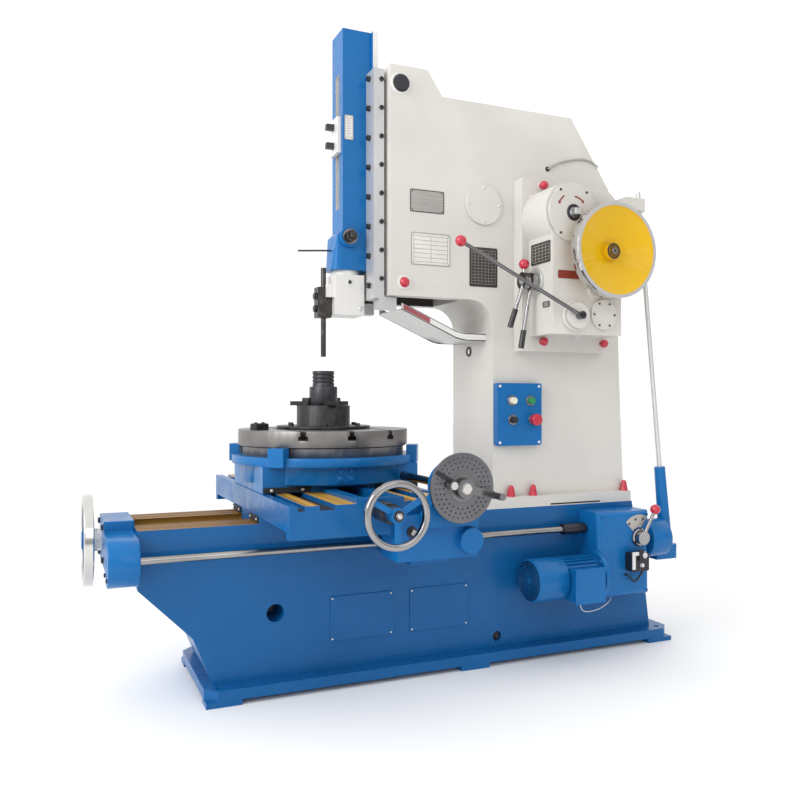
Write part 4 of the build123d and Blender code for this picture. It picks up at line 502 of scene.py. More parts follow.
def polar(radius: float, degrees: float) -> Pair:
    """Gives the place at a radius and an angle."""
    return radius * cos(radians(degrees)), radius * sin(radians(degrees))


def circle(radius: float, sides: int = 24) -> list[Pair]:
    """Gives a round outline's corners in order."""
    return [polar(radius, 360 * i / sides) for i in range(sides)]


def hexagon(across: float) -> list[Pair]:
    """Gives a hexagon's outline from its width over flats."""
    return circle(across / 2 / cos(pi / 6), 6)


def rectangle(width: float, height: float, corner: float, steps: int = 4) -> list[Pair]:
    """Gives a rectangle's outline with round corners.

    Args:
        width: Size along X.
        height: Size along Y.
        corner: Corner radius.
        steps: Points in each corner, less one.

    Returns:
        The corners in order.
    """
    spots = []
    for number, (side_x, side_y) in enumerate(((1, 1), (-1, 1), (-1, -1), (1, -1))):
        for step in range(steps + 1):
            x, y = polar(corner, 90 * (number + step / steps))
            spots.append((side_x * (width / 2 - corner) + x, side_y * (height / 2 - corner) + y))
    return spots


def drawn_in(outline: Sequence[Pair], by: float) -> list[Pair]:
    """Gives an outline drawn in evenly on every side.

    Args:
        outline: The corners, anticlockwise.
        by: How far each side moves in.

    Returns:
        The new corners, as many as before.
    """
    moved = []
    for before, here, after in zip((outline[-1], *outline[:-1]), outline, (*outline[1:], outline[0])):
        first = (Vector(here) - Vector(before)).normalized()
        second = (Vector(after) - Vector(here)).normalized()
        inward = Vector((-first.y - second.y, first.x + second.x))
        share = by / max(0.2, inward.length / 2)
        moved.append(tuple(Vector(here) + inward.normalized() * share))
    return moved


def ring_spots(x: float, z: float, radius: float, angles: Iterable[float]) -> list[Pair]:
    """Gives places around a point, at a radius and at angles in degrees."""
    return [(x + across, z + up) for across, up in (polar(radius, a) for a in angles)]


def corners(across: Pair, up: Pair, inset: float = 0.0) -> list[Pair]:
    """Gives four places that are set in from the corners of a field."""
    return list(product((across[0] + inset, across[1] - inset), (up[0] + inset, up[1] - inset)))


class Shape:
    """Closed forms gathered into one piece, each with a finish of its own."""

    def __init__(self, name: str, body: Body, slot: Slot) -> None:
        """Starts an empty piece.

        Args:
            name: The piece's name.
            body: What it rides on.
            slot: A material slot; it is not used.
        """
        self.name, self.body, self.slot = name, body.value, slot.value
        self.mesh = bmesh.new()
        self.finishes: list[Finish] = []

    def _skin(self, rings: Sequence[Sequence[bmesh.types.BMVert]], finish: Finish, joined: bool) -> None:
        """Lays faces from ring to ring and closes the ends.

        Args:
            rings: Corners ring by ring, one corner alone for a point.
            finish: What the faces wear.
            joined: Whether the last ring meets the first, in place of two ends.
        """
        if finish not in self.finishes:
            self.finishes.append(finish)
        index = self.finishes.index(finish)
        faces = []
        steps = list(zip(rings, [*rings[1:], rings[0]]))
        for low, high in steps if joined else steps[:-1]:
            count = max(len(low), len(high))
            for i in range(count):
                j = (i + 1) % count
                loop = [low[i % len(low)], low[j % len(low)], high[j % len(high)], high[i % len(high)]]
                faces.append(list(dict.fromkeys(loop)))
        if not joined:
            faces += [list(end) for end in (rings[0], rings[-1]) if len(end) > 2]
        for loop in faces:
            face = self.mesh.faces.new(loop)
            face.material_index, face.smooth = index, True

    def _ring(self, place: Matrix, outline: Sequence[Pair], height: float) -> list[bmesh.types.BMVert]:
        """Adds an outline's corners at a height of a frame."""
        return [self.mesh.verts.new(place @ Vector((x, y, height))) for x, y in outline]

    def turn(self, place: Matrix, profile: Sequence[Pair], finish: Finish, sides: int = 28,
             joined: bool = False) -> None:
        """Adds a turned form.

        Args:
            place: A frame with its Z along the axis.
            profile: Radius and height, point by point.
            finish: What it wears.
            sides: How many sides stand for the round.
            joined: Whether the profile closes on itself, as on a ring.
        """
        rings = []
        for radius, height in profile:
            outline = circle(radius, sides) if radius > NO_RADIUS else [(0.0, 0.0)]
            rings.append(self._ring(place, outline, height))
        self._skin(rings, finish, joined)

    def collar(self, place: Matrix, bore: float, rim: float, height: float, slope: Pair, finish: Finish,
               sides: int = 32) -> None:
        """Adds a ring whose outer edge slopes off.

        Args:
            place: A frame with its Z along the axis.
            bore: Inner radius.
            rim: Outer radius.
            height: How far it stands out.
            slope: How far the edge slopes in and down.
            finish: What it wears.
            sides: How many sides stand for the round.
        """
        across, down = slope
        profile = ((bore, 0), (bore, height), (rim - across, height), (rim, height - down), (rim, 0))
        self.turn(place, profile, finish, sides, joined=True)

    def stud(self, place: Matrix, radius: float, height: float, slope: Pair, finish: Finish) -> None:
        """Adds a round boss whose outer edge slopes off.

        Args:
            place: A frame with its Z along the axis.
            radius: Its radius.
            height: How far it stands out.
            slope: How far the edge slopes in and down.
            finish: What it wears.
        """
        across, down = slope
        profile = ((0, 0), (radius, 0), (radius, height - down), (radius - across, height), (0, height))
        self.turn(place, profile, finish)

    def press(self, place: Matrix, outline: Sequence[Pair], height: float, finish: Finish,
              chamfer: float = 0.0006) -> None:
        """Adds a plate or block of an anticlockwise outline with a chamfered outer edge."""
        layers = ((outline, 0), (outline, height - chamfer), (drawn_in(outline, chamfer), height))
        self._skin([self._ring(place, *layer) for layer in layers], finish, joined=False)

    def band(self, place: Matrix, outline: Sequence[Pair], width: float, height: float,
             finish: Finish) -> None:
        """Adds a raised border just inside an outline.

        Args:
            place: A frame with its Z out of the face.
            outline: The corners, anticlockwise.
            width: The border's width.
            height: How far it stands out.
            finish: What it wears.
        """
        inner = drawn_in(outline, width)
        layers = ((outline, 0), (outline, height), (inner, height), (inner, 0))
        self._skin([self._ring(place, *layer) for layer in layers], finish, joined=True)

    def rod(self, route: Sequence[Point], radius: float, finish: Finish, smooth: int = 2,
            sides: int = 12) -> None:
        """Adds a bent round rod or pipe.

        Args:
            route: Points along it.
            radius: Its radius.
            finish: What it wears.
            smooth: How many times the bends are rounded.
            sides: How many sides stand for the round.
        """
        line = [Vector(p) for p in route]
        for _ in range(smooth):
            cut = [line[0]]
            for here, there in zip(line, line[1:]):
                cut += [here.lerp(there, 0.25), here.lerp(there, 0.75)]
            line = [*cut, line[-1]]
        rings = []
        attitude = frame_along(line[0], line[1] - line[0]).to_quaternion()
        for i, spot in enumerate(line):
            ahead = (line[min(i + 1, len(line) - 1)] - line[max(i - 1, 0)]).normalized()
            attitude = (attitude @ Vector((0, 0, 1))).rotation_difference(ahead) @ attitude
            place = Matrix.Translation(spot) @ attitude.to_matrix().to_4x4()
            rings.append(self._ring(place, circle(radius, sides), 0))
        self._skin(rings, finish, joined=False)

    def hex_bolt(self, place: Matrix, across: float, height: float, finish: Finish) -> None:
        """Adds a hexagon head, by its width over flats, on a washer face."""
        self.press(place, circle(across * 0.62), height * 0.16, finish, chamfer=height * 0.05)
        self.press(place, hexagon(across), height, finish, chamfer=height * 0.18)

    def socket_screw(self, place: Matrix, radius: float, height: float, finish: Finish) -> None:
        """Adds a round head with a socket.

        Args:
            place: A frame with its Z out of the face.
            radius: The head's radius.
            height: How far the head stands out.
            finish: What it wears.
        """
        edge, mouth, bottom, depth = radius * 0.14, radius * 0.55, radius * 0.50, height * 0.35
        head = ((0, 0), (radius, 0), (radius, height - edge), (radius - edge, height))
        self.turn(place, (*head, (mouth, height), (bottom, depth), (0, depth)), finish, SCREW_SIDES)

    def dome(self, place: Matrix, radius: float, height: float, finish: Finish) -> None:
        """Adds a low round rivet or lens."""
        arc = [(radius * cos(a), height * sin(a)) for a in DOME_ANGLES]
        self.turn(place, ((0, 0), *arc, (0, height)), finish, SCREW_SIDES)

    def bare_plate(self, place: Matrix, width: float, height: float, face: Finish, edge: Finish) -> None:
        """Adds a blank name plate with a border and a rivet in each corner.

        Args:
            place: A frame at the plate's middle with its Z out of the face.
            width: Size along the frame's X.
            height: Size along the frame's Y.
            face: The plate's finish.
            edge: The border's and the rivets' finish.
        """
        thickness, rivet_inset = 0.0012, 0.008
        outline = rectangle(width, height, corner=0.004)
        self.press(place, outline, thickness, face, chamfer=thickness / 3)
        self.band(place, outline, width=0.0028, height=thickness * 1.6, finish=edge)
        for x, y in corners((-width / 2, width / 2), (-height / 2, height / 2), rivet_inset):
            self.dome(shifted(place, x, y, thickness), radius=0.0026, height=0.0016, finish=edge)

    def ruled(self, place: Matrix, width: float, height: float, rows: int, columns: int,
              finish: Finish) -> None:
        """Adds the thin lines of an empty chart or scale.

        Args:
            place: A frame at the chart's middle with its Z out of the face.
            width: Size along the frame's X.
            height: Size along the frame's Y.
            rows: How many rows the lines part.
            columns: How many columns the lines part.
            finish: What the lines wear.
        """
        line, lift = 0.0009, 0.0016
        level, upright = rectangle(width, line, line / 4, 1), rectangle(line, height, line / 4, 1)
        for row in range(rows + 1):
            spot = shifted(place, y=height * (row / rows - 0.5))
            self.press(spot, level, lift, finish, chamfer=line / 8)
        for column in range(columns + 1) if columns > 1 else ():
            spot = shifted(place, x=width * (column / columns - 0.5))
            self.press(spot, upright, lift, finish, chamfer=line / 8)

    def arrow(self, place: Matrix, radius: float, start: float, end: float, finish: Finish) -> None:
        """Adds a thin bent arrow around a frame's middle.

        Args:
            place: A frame with its Z out of the face.
            radius: The arrow's own radius.
            start: Degrees where it starts.
            end: Degrees where its tip is.
            finish: What it wears.
        """
        half_line, half_tip, tip_sweep, count = 0.003, 0.008, 10, 8
        sweep = 1 if end > start else -1
        neck = end - sweep * tip_sweep
        steps = [start + (neck - start) * i / count for i in range(count + 1)]
        spots = [(radius + half_line, a) for a in steps]
        spots += [(radius + half_tip, neck), (radius, end), (radius - half_tip, neck)]
        spots += [(radius - half_line, a) for a in reversed(steps)]
        outline = [polar(r, a) for r, a in spots]
        self.press(place, outline if sweep > 0 else outline[::-1], 0.0008, finish, chamfer=0.0002)

    def dial_marks(self, place: Matrix, radius: float, count: int, width: float, finish: Finish) -> None:
        """Adds the marks of a dial around a frame's Z, every fifth one longer.

        Args:
            place: A frame at the dial's middle with its Z along the axis.
            radius: The dial's radius.
            count: How many marks it has.
            width: The dial's width along the axis.
            finish: What the marks wear.
        """
        sunk, line, lift = 0.0003, 0.0008, 0.0007
        outward = Matrix.Rotation(pi / 2, 4, "Y")
        for number in range(count):
            length = width * (0.9 if number % 5 == 0 else 0.5)
            spot = shifted(turned(place, 360 * number / count), radius - sunk, z=(length - width) / 2)
            self.press(spot @ outward, rectangle(length, line, line / 4, 1), lift, finish, chamfer=0.0001)

    def stand(self) -> None:
        """Makes the piece and puts it on its body."""
        bmesh.ops.recalc_face_normals(self.mesh, faces=self.mesh.faces)
        data = bpy.data.meshes.new(self.name)
        self.mesh.to_mesh(data)
        self.mesh.free()
        data.set_sharp_from_angle(angle=radians(SMOOTH_ANGLE))
        for finish in self.finishes:
            data.materials.append(finish.material())
        piece = bpy.data.objects.new(self.name, data)
        bpy.context.scene.collection.objects.link(piece)
        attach(piece, self.body)
        log.info("fitted %s on %s", self.name, self.body)


@dataclass
class Dress:
    """What a CAD node wears: one finish all over, others by place, and rounded edges."""

    node: str
    finish: Finish
    edge: float = 0.0
    zones: Sequence[tuple[Finish, Rule]] = ()

    def put_on(self) -> None:
        """Gives the node its materials and edge modifiers."""
        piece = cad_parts[self.node]
        data = piece.data
        data.materials.clear()
        for finish in (self.finish, *(finish for finish, _ in self.zones)):
            data.materials.append(finish.material())
        for face in data.polygons:
            picked = (n for n, (_, rule) in enumerate(self.zones, start=1) if rule(face.center, face.normal))
            face.material_index = next(picked, 0)
        if self.edge:
            self._round_edges(piece)
        log.info("dressed %s", self.node)

    def _round_edges(self, piece: bpy.types.Object) -> None:
        """Adds the modifiers that weld the skin and round its sharp edges.

        Args:
            piece: The node's object.
        """
        weld = piece.modifiers.new("weld", "WELD")
        weld.merge_threshold = 0.00002
        flat = piece.modifiers.new("flat_faces", "DECIMATE")
        flat.decimate_type = "DISSOLVE"
        flat.angle_limit = radians(0.6)
        flat.delimit = {"MATERIAL"}
        rounding = piece.modifiers.new("edges", "BEVEL")
        rounding.width = self.edge
        rounding.segments = 2
        rounding.limit_method = "ANGLE"
        rounding.angle_limit = radians(40)
        rounding.use_clamp_overlap = True
        rounding.harden_normals = True


def facing(side: Side, least: float = FACING) -> Rule:
    """Gives a rule that picks faces that look one way."""
    return lambda centre, normal: normal.dot(Vector(side.value)) > least


def beyond(axis: Axis, limit: float) -> Rule:
    """Gives a rule that picks faces whose middles lie past a place on an axis."""
    return lambda centre, normal: centre[axis.value] > limit


def short_of(axis: Axis, limit: float) -> Rule:
    """Gives a rule that picks faces whose middles lie before a place on an axis."""
    return lambda centre, normal: centre[axis.value] < limit


def near_axis(x: float, z: float, radius: float) -> Rule:
    """Gives a rule that picks faces within a radius of an axis across the bed."""
    return lambda centre, normal: hypot(centre.x - x, centre.z - z) < radius


def ball_of(x: float, y: float, z: float, radius: float) -> Rule:
    """Gives a rule that picks faces within a radius of a point."""
    return lambda centre, normal: (centre - Vector((x, y, z))).length < radius


def both(*rules: Rule) -> Rule:
    """Gives a rule that picks the faces that all the given rules pick."""
    return lambda centre, normal: all(rule(centre, normal) for rule in rules)


def outside(rule: Rule) -> Rule:
    """Gives a rule that picks the faces that another rule leaves."""
    return lambda centre, normal: not rule(centre, normal)


class Assembly:
    """A group of CAD nodes and small fittings that are finished together."""

    def dresses(self) -> list[Dress]:
        """Lists what the group's CAD nodes wear."""
        raise NotImplementedError

    def fittings(self) -> list[Shape]:
        """Lists the small pieces that the group adds."""
        raise NotImplementedError

    def build(self) -> None:
        """Dresses the nodes and stands the fittings in place."""
        for dress in self.dresses():
            dress.put_on()
        for fitting in self.fittings():
            fitting.stand()


@dataclass
class Bed(Assembly):
    """Bed casting with its covers, plug and the left end bracket."""

    ways: float = 0.480
    channel: float = 0.0705
    column_low: float = 1.0
    head_cap: Pair = (-0.231, 2.174)
    cap_radius: float = 0.040
    cover_lefts: Pair = (-0.518, -0.211)
    cover_length: float = 0.240
    cover_heights: Pair = (0.152, 0.310)
    cover_face: float = 0.207
    screw_inset: float = 0.008
    plug: Point = (0.158, -0.190, 0.093)
    bracket_face: float = -1.262
    screw_flange: tuple[Pair, Pair] = ((-0.088, 0.088), (0.476, 0.584))
    shaft_flange: tuple[Pair, Pair] = ((-0.290, 0.449), (-0.200, 0.449))

    def _in_channel(self, centre: Vector, normal: Vector) -> bool:
        """Picks the faces along the lead screw's channel."""
        return centre.z > self.ways and abs(centre.y) < self.channel and abs(normal.x) < SLANTED

    def dresses(self) -> list[Dress]:
        """Paints the castings and greases the ways.

        Returns:
            What each node wears.
        """
        return [
            # The bed casting wears the darker blue as painted shade.
            Dress("bed_casting", DARKENED_BLUE, edge=0.005, zones=[
                (WAY, both(facing(Side.TOP), beyond(Axis.Z, self.ways))),
                (WAY, self._in_channel),
            ]),
            Dress("left_end_bracket", BLUE, edge=0.004),
            # The access covers wear the darker blue as painted shade.
            Dress("access_covers", DARKENED_BLUE, edge=0.0012, zones=[
                (BLACK, near_axis(*self.head_cap, self.cap_radius)),
                (GREY, beyond(Axis.Z, self.column_low)),
            ]),
        ]

    def fittings(self) -> list[Shape]:
        """Makes the cover screws, the drain plug and the bracket screws.

        Returns:
            The pieces.
        """
        screws = Shape("bed_cover_screws", Body.FRAME, Slot.GROUND_STEEL)
        for left in self.cover_lefts:
            for spot in corners((left, left + self.cover_length), self.cover_heights, self.screw_inset):
                seat = Side.FRONT.flank(*spot, self.cover_face)
                screws.dome(seat, radius=0.004, height=0.0025, finish=CHROME)
        plug = Shape("bed_drain_plug", Body.FRAME, Slot.GROUND_STEEL)
        seat = Side.FRONT.at(*self.plug)
        plug.stud(seat, radius=0.0175, height=0.006, slope=(0.0015, 0.001), finish=BLACK)
        plug.press(seat, hexagon(0.017), height=0.012, finish=BLACK, chamfer=0.0015)
        bracket = Shape("bracket_screws", Body.FRAME, Slot.BLACK_STEEL)
        for spot in corners(*self.screw_flange):
            seat = Side.LEFT.at(self.bracket_face, *spot)
            bracket.socket_screw(seat, radius=0.010, height=0.007, finish=BLACK)
        for spot in self.shaft_flange:
            seat = Side.LEFT.at(self.bracket_face, *spot)
            bracket.socket_screw(seat, radius=0.007, height=0.005, finish=BLACK)
        return [screws, plug, bracket]


@dataclass
class Column(Assembly):
    """Column casting with its plates, oil pipe, cap and drip tray."""

    side: float = 0.168
    cavity: float = 0.118
    cavity_skin: float = 0.0015
    cavity_low: float = 1.42
    cavity_floor: Pair = (1.40, 1.50)
    cover: Pair = (0.116, 1.757)
    cover_face: float = 0.178
    cover_screws: float = 0.066
    top_plate: Pair = (-0.123, 1.747)
    pale_chart: Pair = (-0.108, 1.568)
    dark_chart: Pair = (0.118, 1.516)
    pipe_line: tuple[Pair, ...] = ((0.412, 1.930), (0.420, 1.934), (0.469, 1.964), (0.561, 1.987),
                                   (0.617, 1.986), (0.645, 1.970), (0.650, 1.966))
    pipe_stand_off: float = 0.005
    pipe_root: float = 0.001
    sight_glass: Point = (0.160, 0.026, 1.201)
    head_cap: Pair = (-0.231, 2.174)
    knurls: int = 72
    pivot: Pair = (-0.216, 1.439)
    tray_wall: float = 0.1125
    tray_line: tuple[Pair, ...] = ((-0.204, 1.346), (-0.012, 1.2615), (0.046, 1.236), (0.109, 1.236),
                                   (0.159, 1.236))
    tray_edges: Pair = (0.025, 0.001)
    strip_face: float = 0.114
    strip: tuple[Pair, ...] = ((-0.196, 1.3465), (-0.085, 1.2976), (-0.085, 1.3156), (-0.196, 1.3645))
    foot_slot: Point = (0.523, -0.203, 0.589)

    def dresses(self) -> list[Dress]:
        """Paints the castings, the tray and the red caps and finishes the drive inside.

        Returns:
            What each node wears.
        """
        return [
            # The faces inside the hollow head wear the dark paint as painted shade.
            Dress("column_casting", GREY, edge=0.006, zones=[(CAVITY_SHADE, self._in_cavity)]),
            Dress("drip_tray", WHITE, edge=0.0006),
            Dress("tilt_pivot_pin", RED),
            Dress("capped_bolts", RED),
            Dress("main_motor", BLUE, edge=0.002),
            Dress("drive_belts", RUBBER),
            Dress("motor_pulley", GEAR, edge=0.001),
            Dress("rocker_arm", GEAR, edge=0.002),
        ]

    def _in_cavity(self, centre: Vector, normal: Vector) -> bool:
        """Picks the faces inside the hollow head, which take the painted shade.

        Args:
            centre: The face's middle.
            normal: The way it looks.

        Returns:
            Whether it is one of them.
        """
        if abs(normal.y) > FACING:
            return abs(abs(centre.y) - self.cavity) < self.cavity_skin
        low, high = self.cavity_floor
        ceiling = centre.z > self.cavity_low and normal.z < -SLANTED
        return ceiling or low < centre.z < high and normal.z > SLANTED

    def fittings(self) -> list[Shape]:
        """Makes the plates, screws, pipe, sight glass, cap and the tray's painted shadow lines and red strip.

        Returns:
            The pieces.
        """
        plates = Shape("column_plates", Body.FRAME, Slot.GROUND_STEEL)
        top = Side.FRONT.flank(*self.top_plate, self.side)
        plates.bare_plate(top, width=0.140, height=0.084, face=PLATE, edge=BLACK)
        pale = Side.FRONT.flank(*self.pale_chart, self.side)
        plates.bare_plate(pale, width=0.162, height=0.120, face=PALE_PLATE, edge=PLATE)
        plates.ruled(pale, width=0.140, height=0.096, rows=6, columns=2, finish=DARK_PLATE)
        dark = Side.FRONT.flank(*self.dark_chart, self.side)
        plates.bare_plate(dark, width=0.122, height=0.152, face=DARK_PLATE, edge=BLACK)
        plates.ruled(dark, width=0.104, height=0.130, rows=11, columns=7, finish=PLATE)
        screws = Shape("round_cover_screws", Body.FRAME, Slot.GROUND_STEEL)
        for spot, side in product(ring_spots(*self.cover, self.cover_screws, range(0, 360, 90)), FLANKS):
            screws.dome(side.flank(*spot, self.cover_face), radius=0.0055, height=0.003, finish=STEEL)
        cap = Shape("head_cap", Body.FRAME, Slot.BLACK_STEEL)
        seat = Side.FRONT.flank(*self.head_cap, self.side)
        cap.collar(seat, bore=0.0325, rim=0.0405, height=0.004, slope=(0.0015, 0.002), finish=WHITE, sides=40)
        knurl = [polar(0.028 if i % 2 else 0.0295, 360 * i / self.knurls) for i in range(self.knurls)]
        face = Side.FRONT.flank(*self.head_cap, self.cover_face)
        cap.press(face, knurl, height=0.004, finish=BLACK, chamfer=0.0015)
        pivot = Shape("pivot_ring", Body.FRAME, Slot.GREY_PAINT)
        for side in FLANKS:
            seat = side.flank(*self.pivot, self.side)
            pivot.collar(seat, bore=0.0198, rim=0.0275, height=0.003, slope=(0.0015, 0.0015), finish=WHITE)
        # A thin black strip at the column's foot is a painted shadow in the gap between its flange and the
        # bed.
        gap_shadow = Shape("foot_shadow_slot", Body.FRAME, Slot.BLACK_STEEL)
        slot = rectangle(0.240, 0.006, corner=0.002)
        gap_shadow.press(Side.FRONT.at(*self.foot_slot), slot, height=0.0006, finish=FELT, chamfer=0.0002)
        return [plates, screws, self._oil_pipe(), self._sight_glass(), cap, pivot, self._tray_shadow_lines_and_strip(), gap_shadow]

    def _oil_pipe(self) -> Shape:
        """Makes the oil pipe that stands off the column's side.

        Returns:
            The piece.
        """
        pipe = Shape("oil_pipe", Body.FRAME, Slot.POLISHED_STEEL)
        first, last = self.pipe_line[0], self.pipe_line[-1]
        start, end = ((x, -self.side + self.pipe_root, z) for x, z in (first, last))
        run = [(x, -self.side - self.pipe_stand_off, z) for x, z in self.pipe_line]
        pipe.rod([start, *run, end], radius=0.0038, finish=PLATE)
        pipe.hex_bolt(Side.FRONT.flank(*first, self.side), across=0.016, height=0.006, finish=BLACK)
        pipe.hex_bolt(Side.FRONT.flank(*last, self.side), across=0.014, height=0.005, finish=STEEL)
        return pipe

    def _sight_glass(self) -> Shape:
        """Makes the oil glass on the neck.

        Returns:
            The piece.
        """
        sunk = 0.002
        sight = Shape("neck_sight_glass", Body.FRAME, Slot.GROUND_STEEL)
        seat = Side.LEFT.at(*self.sight_glass)
        sight.collar(shifted(seat, z=-sunk), bore=0.013, rim=0.021, height=0.006, slope=(0.001, 0.002),
                     finish=BLACK, sides=28)
        sight.dome(seat, radius=0.0128, height=0.003, finish=LENS)
        return sight

    def _tray_shadow_lines_and_strip(self) -> Shape:
        """Makes black rods along the tray walls' edges, which are painted shadow lines, and the red strip on
        one of them.

        Returns:
            The piece.
        """
        shadow_lines_and_strip = Shape("tray_edging", Body.FRAME, Slot.BLACK_STEEL)
        # Black rods along the top and bottom edges of both walls are painted shadow lines.
        for y, lift in product((-self.tray_wall, self.tray_wall), self.tray_edges):
            shadow_lines_and_strip.rod([(x, y, z + lift) for x, z in self.tray_line], radius=0.0021, finish=BLACK, sides=8)
        wall = Side.FRONT.flank(0.0, 0.0, self.strip_face)
        # A thin red strip on the near wall of the tray.
        shadow_lines_and_strip.press(wall, self.strip, height=0.0006, finish=RED_STRIP, chamfer=0.0002)
        return shadow_lines_and_strip


@dataclass
class Gearbox(Assembly):
    """Gearbox on the column's side with its covers, plates and drive wheel."""

    face: float = 0.385
    cover_face: float = 0.397
    cap_face: float = 0.227
    left: float = 0.290
    red_plate: Pair = (0.359, 1.472)
    chart: Pair = (-0.305, 1.560)
    small_plate: Pair = (-0.343, 1.362)
    stroke: Pair = (0.375, 1.704)
    stroke_screws: float = 0.099
    stroke_angles: tuple[int, ...] = (54, 126, 234, 306)
    arrow_sweeps: tuple[Point, Point] = ((0.072, 126, 160), (0.060, 86, 40))
    end: Pair = (0.516, 1.327)
    end_screws: float = 0.047
    foot_bolt: Point = (0.455, -0.300, 1.249)
    caps: tuple[Pair, ...] = ((0.345, 1.840), (0.345, 1.230), (0.632, 1.230))
    wheel: Pair = (0.5054, 1.5577)
    shaft_radius: float = 0.0132
    hub_radius: float = 0.0302
    disc_radius: float = 0.1652
    highlight_slant: float = 0.7
    hub_face: float = 0.466
    nose_face: float = 0.474
    clutch: Point = (0.387, -0.440, 1.317)

    def dresses(self) -> list[Dress]:
        """Paints the box and its covers and finishes the wheel and the gears.

        Returns:
            What each node wears.
        """
        hub = near_axis(*self.wheel, self.hub_radius)
        rim = outside(near_axis(*self.wheel, self.disc_radius))
        return [
            Dress("gearbox_housing", GREY, edge=0.004),
            Dress("gearbox_covers", GREY, edge=0.0015, zones=[(STEEL, short_of(Axis.X, self.left))]),
            Dress("flywheel", YELLOW, edge=0.004, zones=[
                (RIM, near_axis(*self.wheel, self.shaft_radius)),
                (DARK_PLATE, both(facing(Side.FRONT, SLANTED), hub)),
                # The rim's front face wears the paler ground finish as a painted highlight.
                (GUIDE, both(facing(Side.FRONT, self.highlight_slant), rim)),
                (CHROME, rim),
            ]),
            Dress("input_pinion_shaft", STEEL),
            Dress("driven_pulley", GEAR, edge=0.001),
            Dress("crank_gear", GEAR),
            Dress("crank_disc", STEEL, edge=0.0015),
        ]

    def fittings(self) -> list[Shape]:
        """Makes the plates, arrows, screws, rings and the ends of the wheel's hub and the clutch lever.

        Returns:
            The pieces.
        """
        plates = Shape("gearbox_plates", Body.FRAME, Slot.GROUND_STEEL)
        red = Side.FRONT.flank(*self.red_plate, self.face)
        plates.bare_plate(red, width=0.092, height=0.030, face=RED_PLATE, edge=RED_PLATE)
        chart = Side.LEFT.at(self.left, *self.chart)
        plates.bare_plate(chart, width=0.130, height=0.080, face=DARK_PLATE, edge=BLACK)
        plates.ruled(chart, width=0.116, height=0.062, rows=5, columns=5, finish=PALE_PLATE)
        small = Side.LEFT.at(self.left, *self.small_plate)
        plates.bare_plate(small, width=0.046, height=0.022, face=PLATE, edge=DARK_PLATE)
        arrows = Shape("stroke_arrows", Body.FRAME, Slot.RED_PLASTIC)
        seat = Side.FRONT.flank(*self.stroke, self.cover_face)
        for sweep in self.arrow_sweeps:
            arrows.arrow(seat, *sweep, RED_PLATE)
        screws = Shape("gearbox_screws", Body.FRAME, Slot.GROUND_STEEL)
        for spot in ring_spots(*self.stroke, self.stroke_screws, self.stroke_angles):
            place = Side.FRONT.flank(*spot, self.cover_face)
            screws.socket_screw(place, radius=0.0045, height=0.003, finish=BLACK)
        for spot in ring_spots(*self.end, self.end_screws, range(0, 360, 60)):
            place = Side.FRONT.flank(*spot, self.cover_face)
            screws.socket_screw(place, radius=0.004, height=0.0025, finish=BLACK)
        screws.hex_bolt(Side.BOTTOM.at(*self.foot_bolt), across=0.024, height=0.012, finish=STEEL)
        rings = Shape("gearbox_rings", Body.FRAME, Slot.GREY_PAINT)
        rings.collar(seat, bore=0.020, rim=0.031, height=0.004, slope=(0.002, 0.002), finish=BLACK)
        for spot in self.caps:
            place = Side.FRONT.flank(*spot, self.cap_face)
            rings.collar(place, bore=0.0122, rim=0.0175, height=0.002, slope=(0.001, 0.001),
                         finish=WHITE, sides=28)
        hub = Shape("wheel_hub_end", Body.MAIN_DRIVE, Slot.BLACK_STEEL)
        hub.collar(Side.FRONT.flank(*self.wheel, self.hub_face), bore=0.0133, rim=0.0235, height=0.003,
                   slope=(0.0015, 0.0015), finish=BRONZE)
        nose = Side.FRONT.flank(*self.wheel, self.nose_face)
        hub.press(nose, circle(0.004, 16), height=0.0006, finish=INK, chamfer=0.0002)
        nut = Shape("clutch_lever_nut", Body.CLUTCH, Slot.BLACK_STEEL)
        nut.hex_bolt(Side.FRONT.at(*self.clutch), across=0.017, height=0.008, finish=BLACK)
        return [plates, arrows, screws, rings, hub, nut]


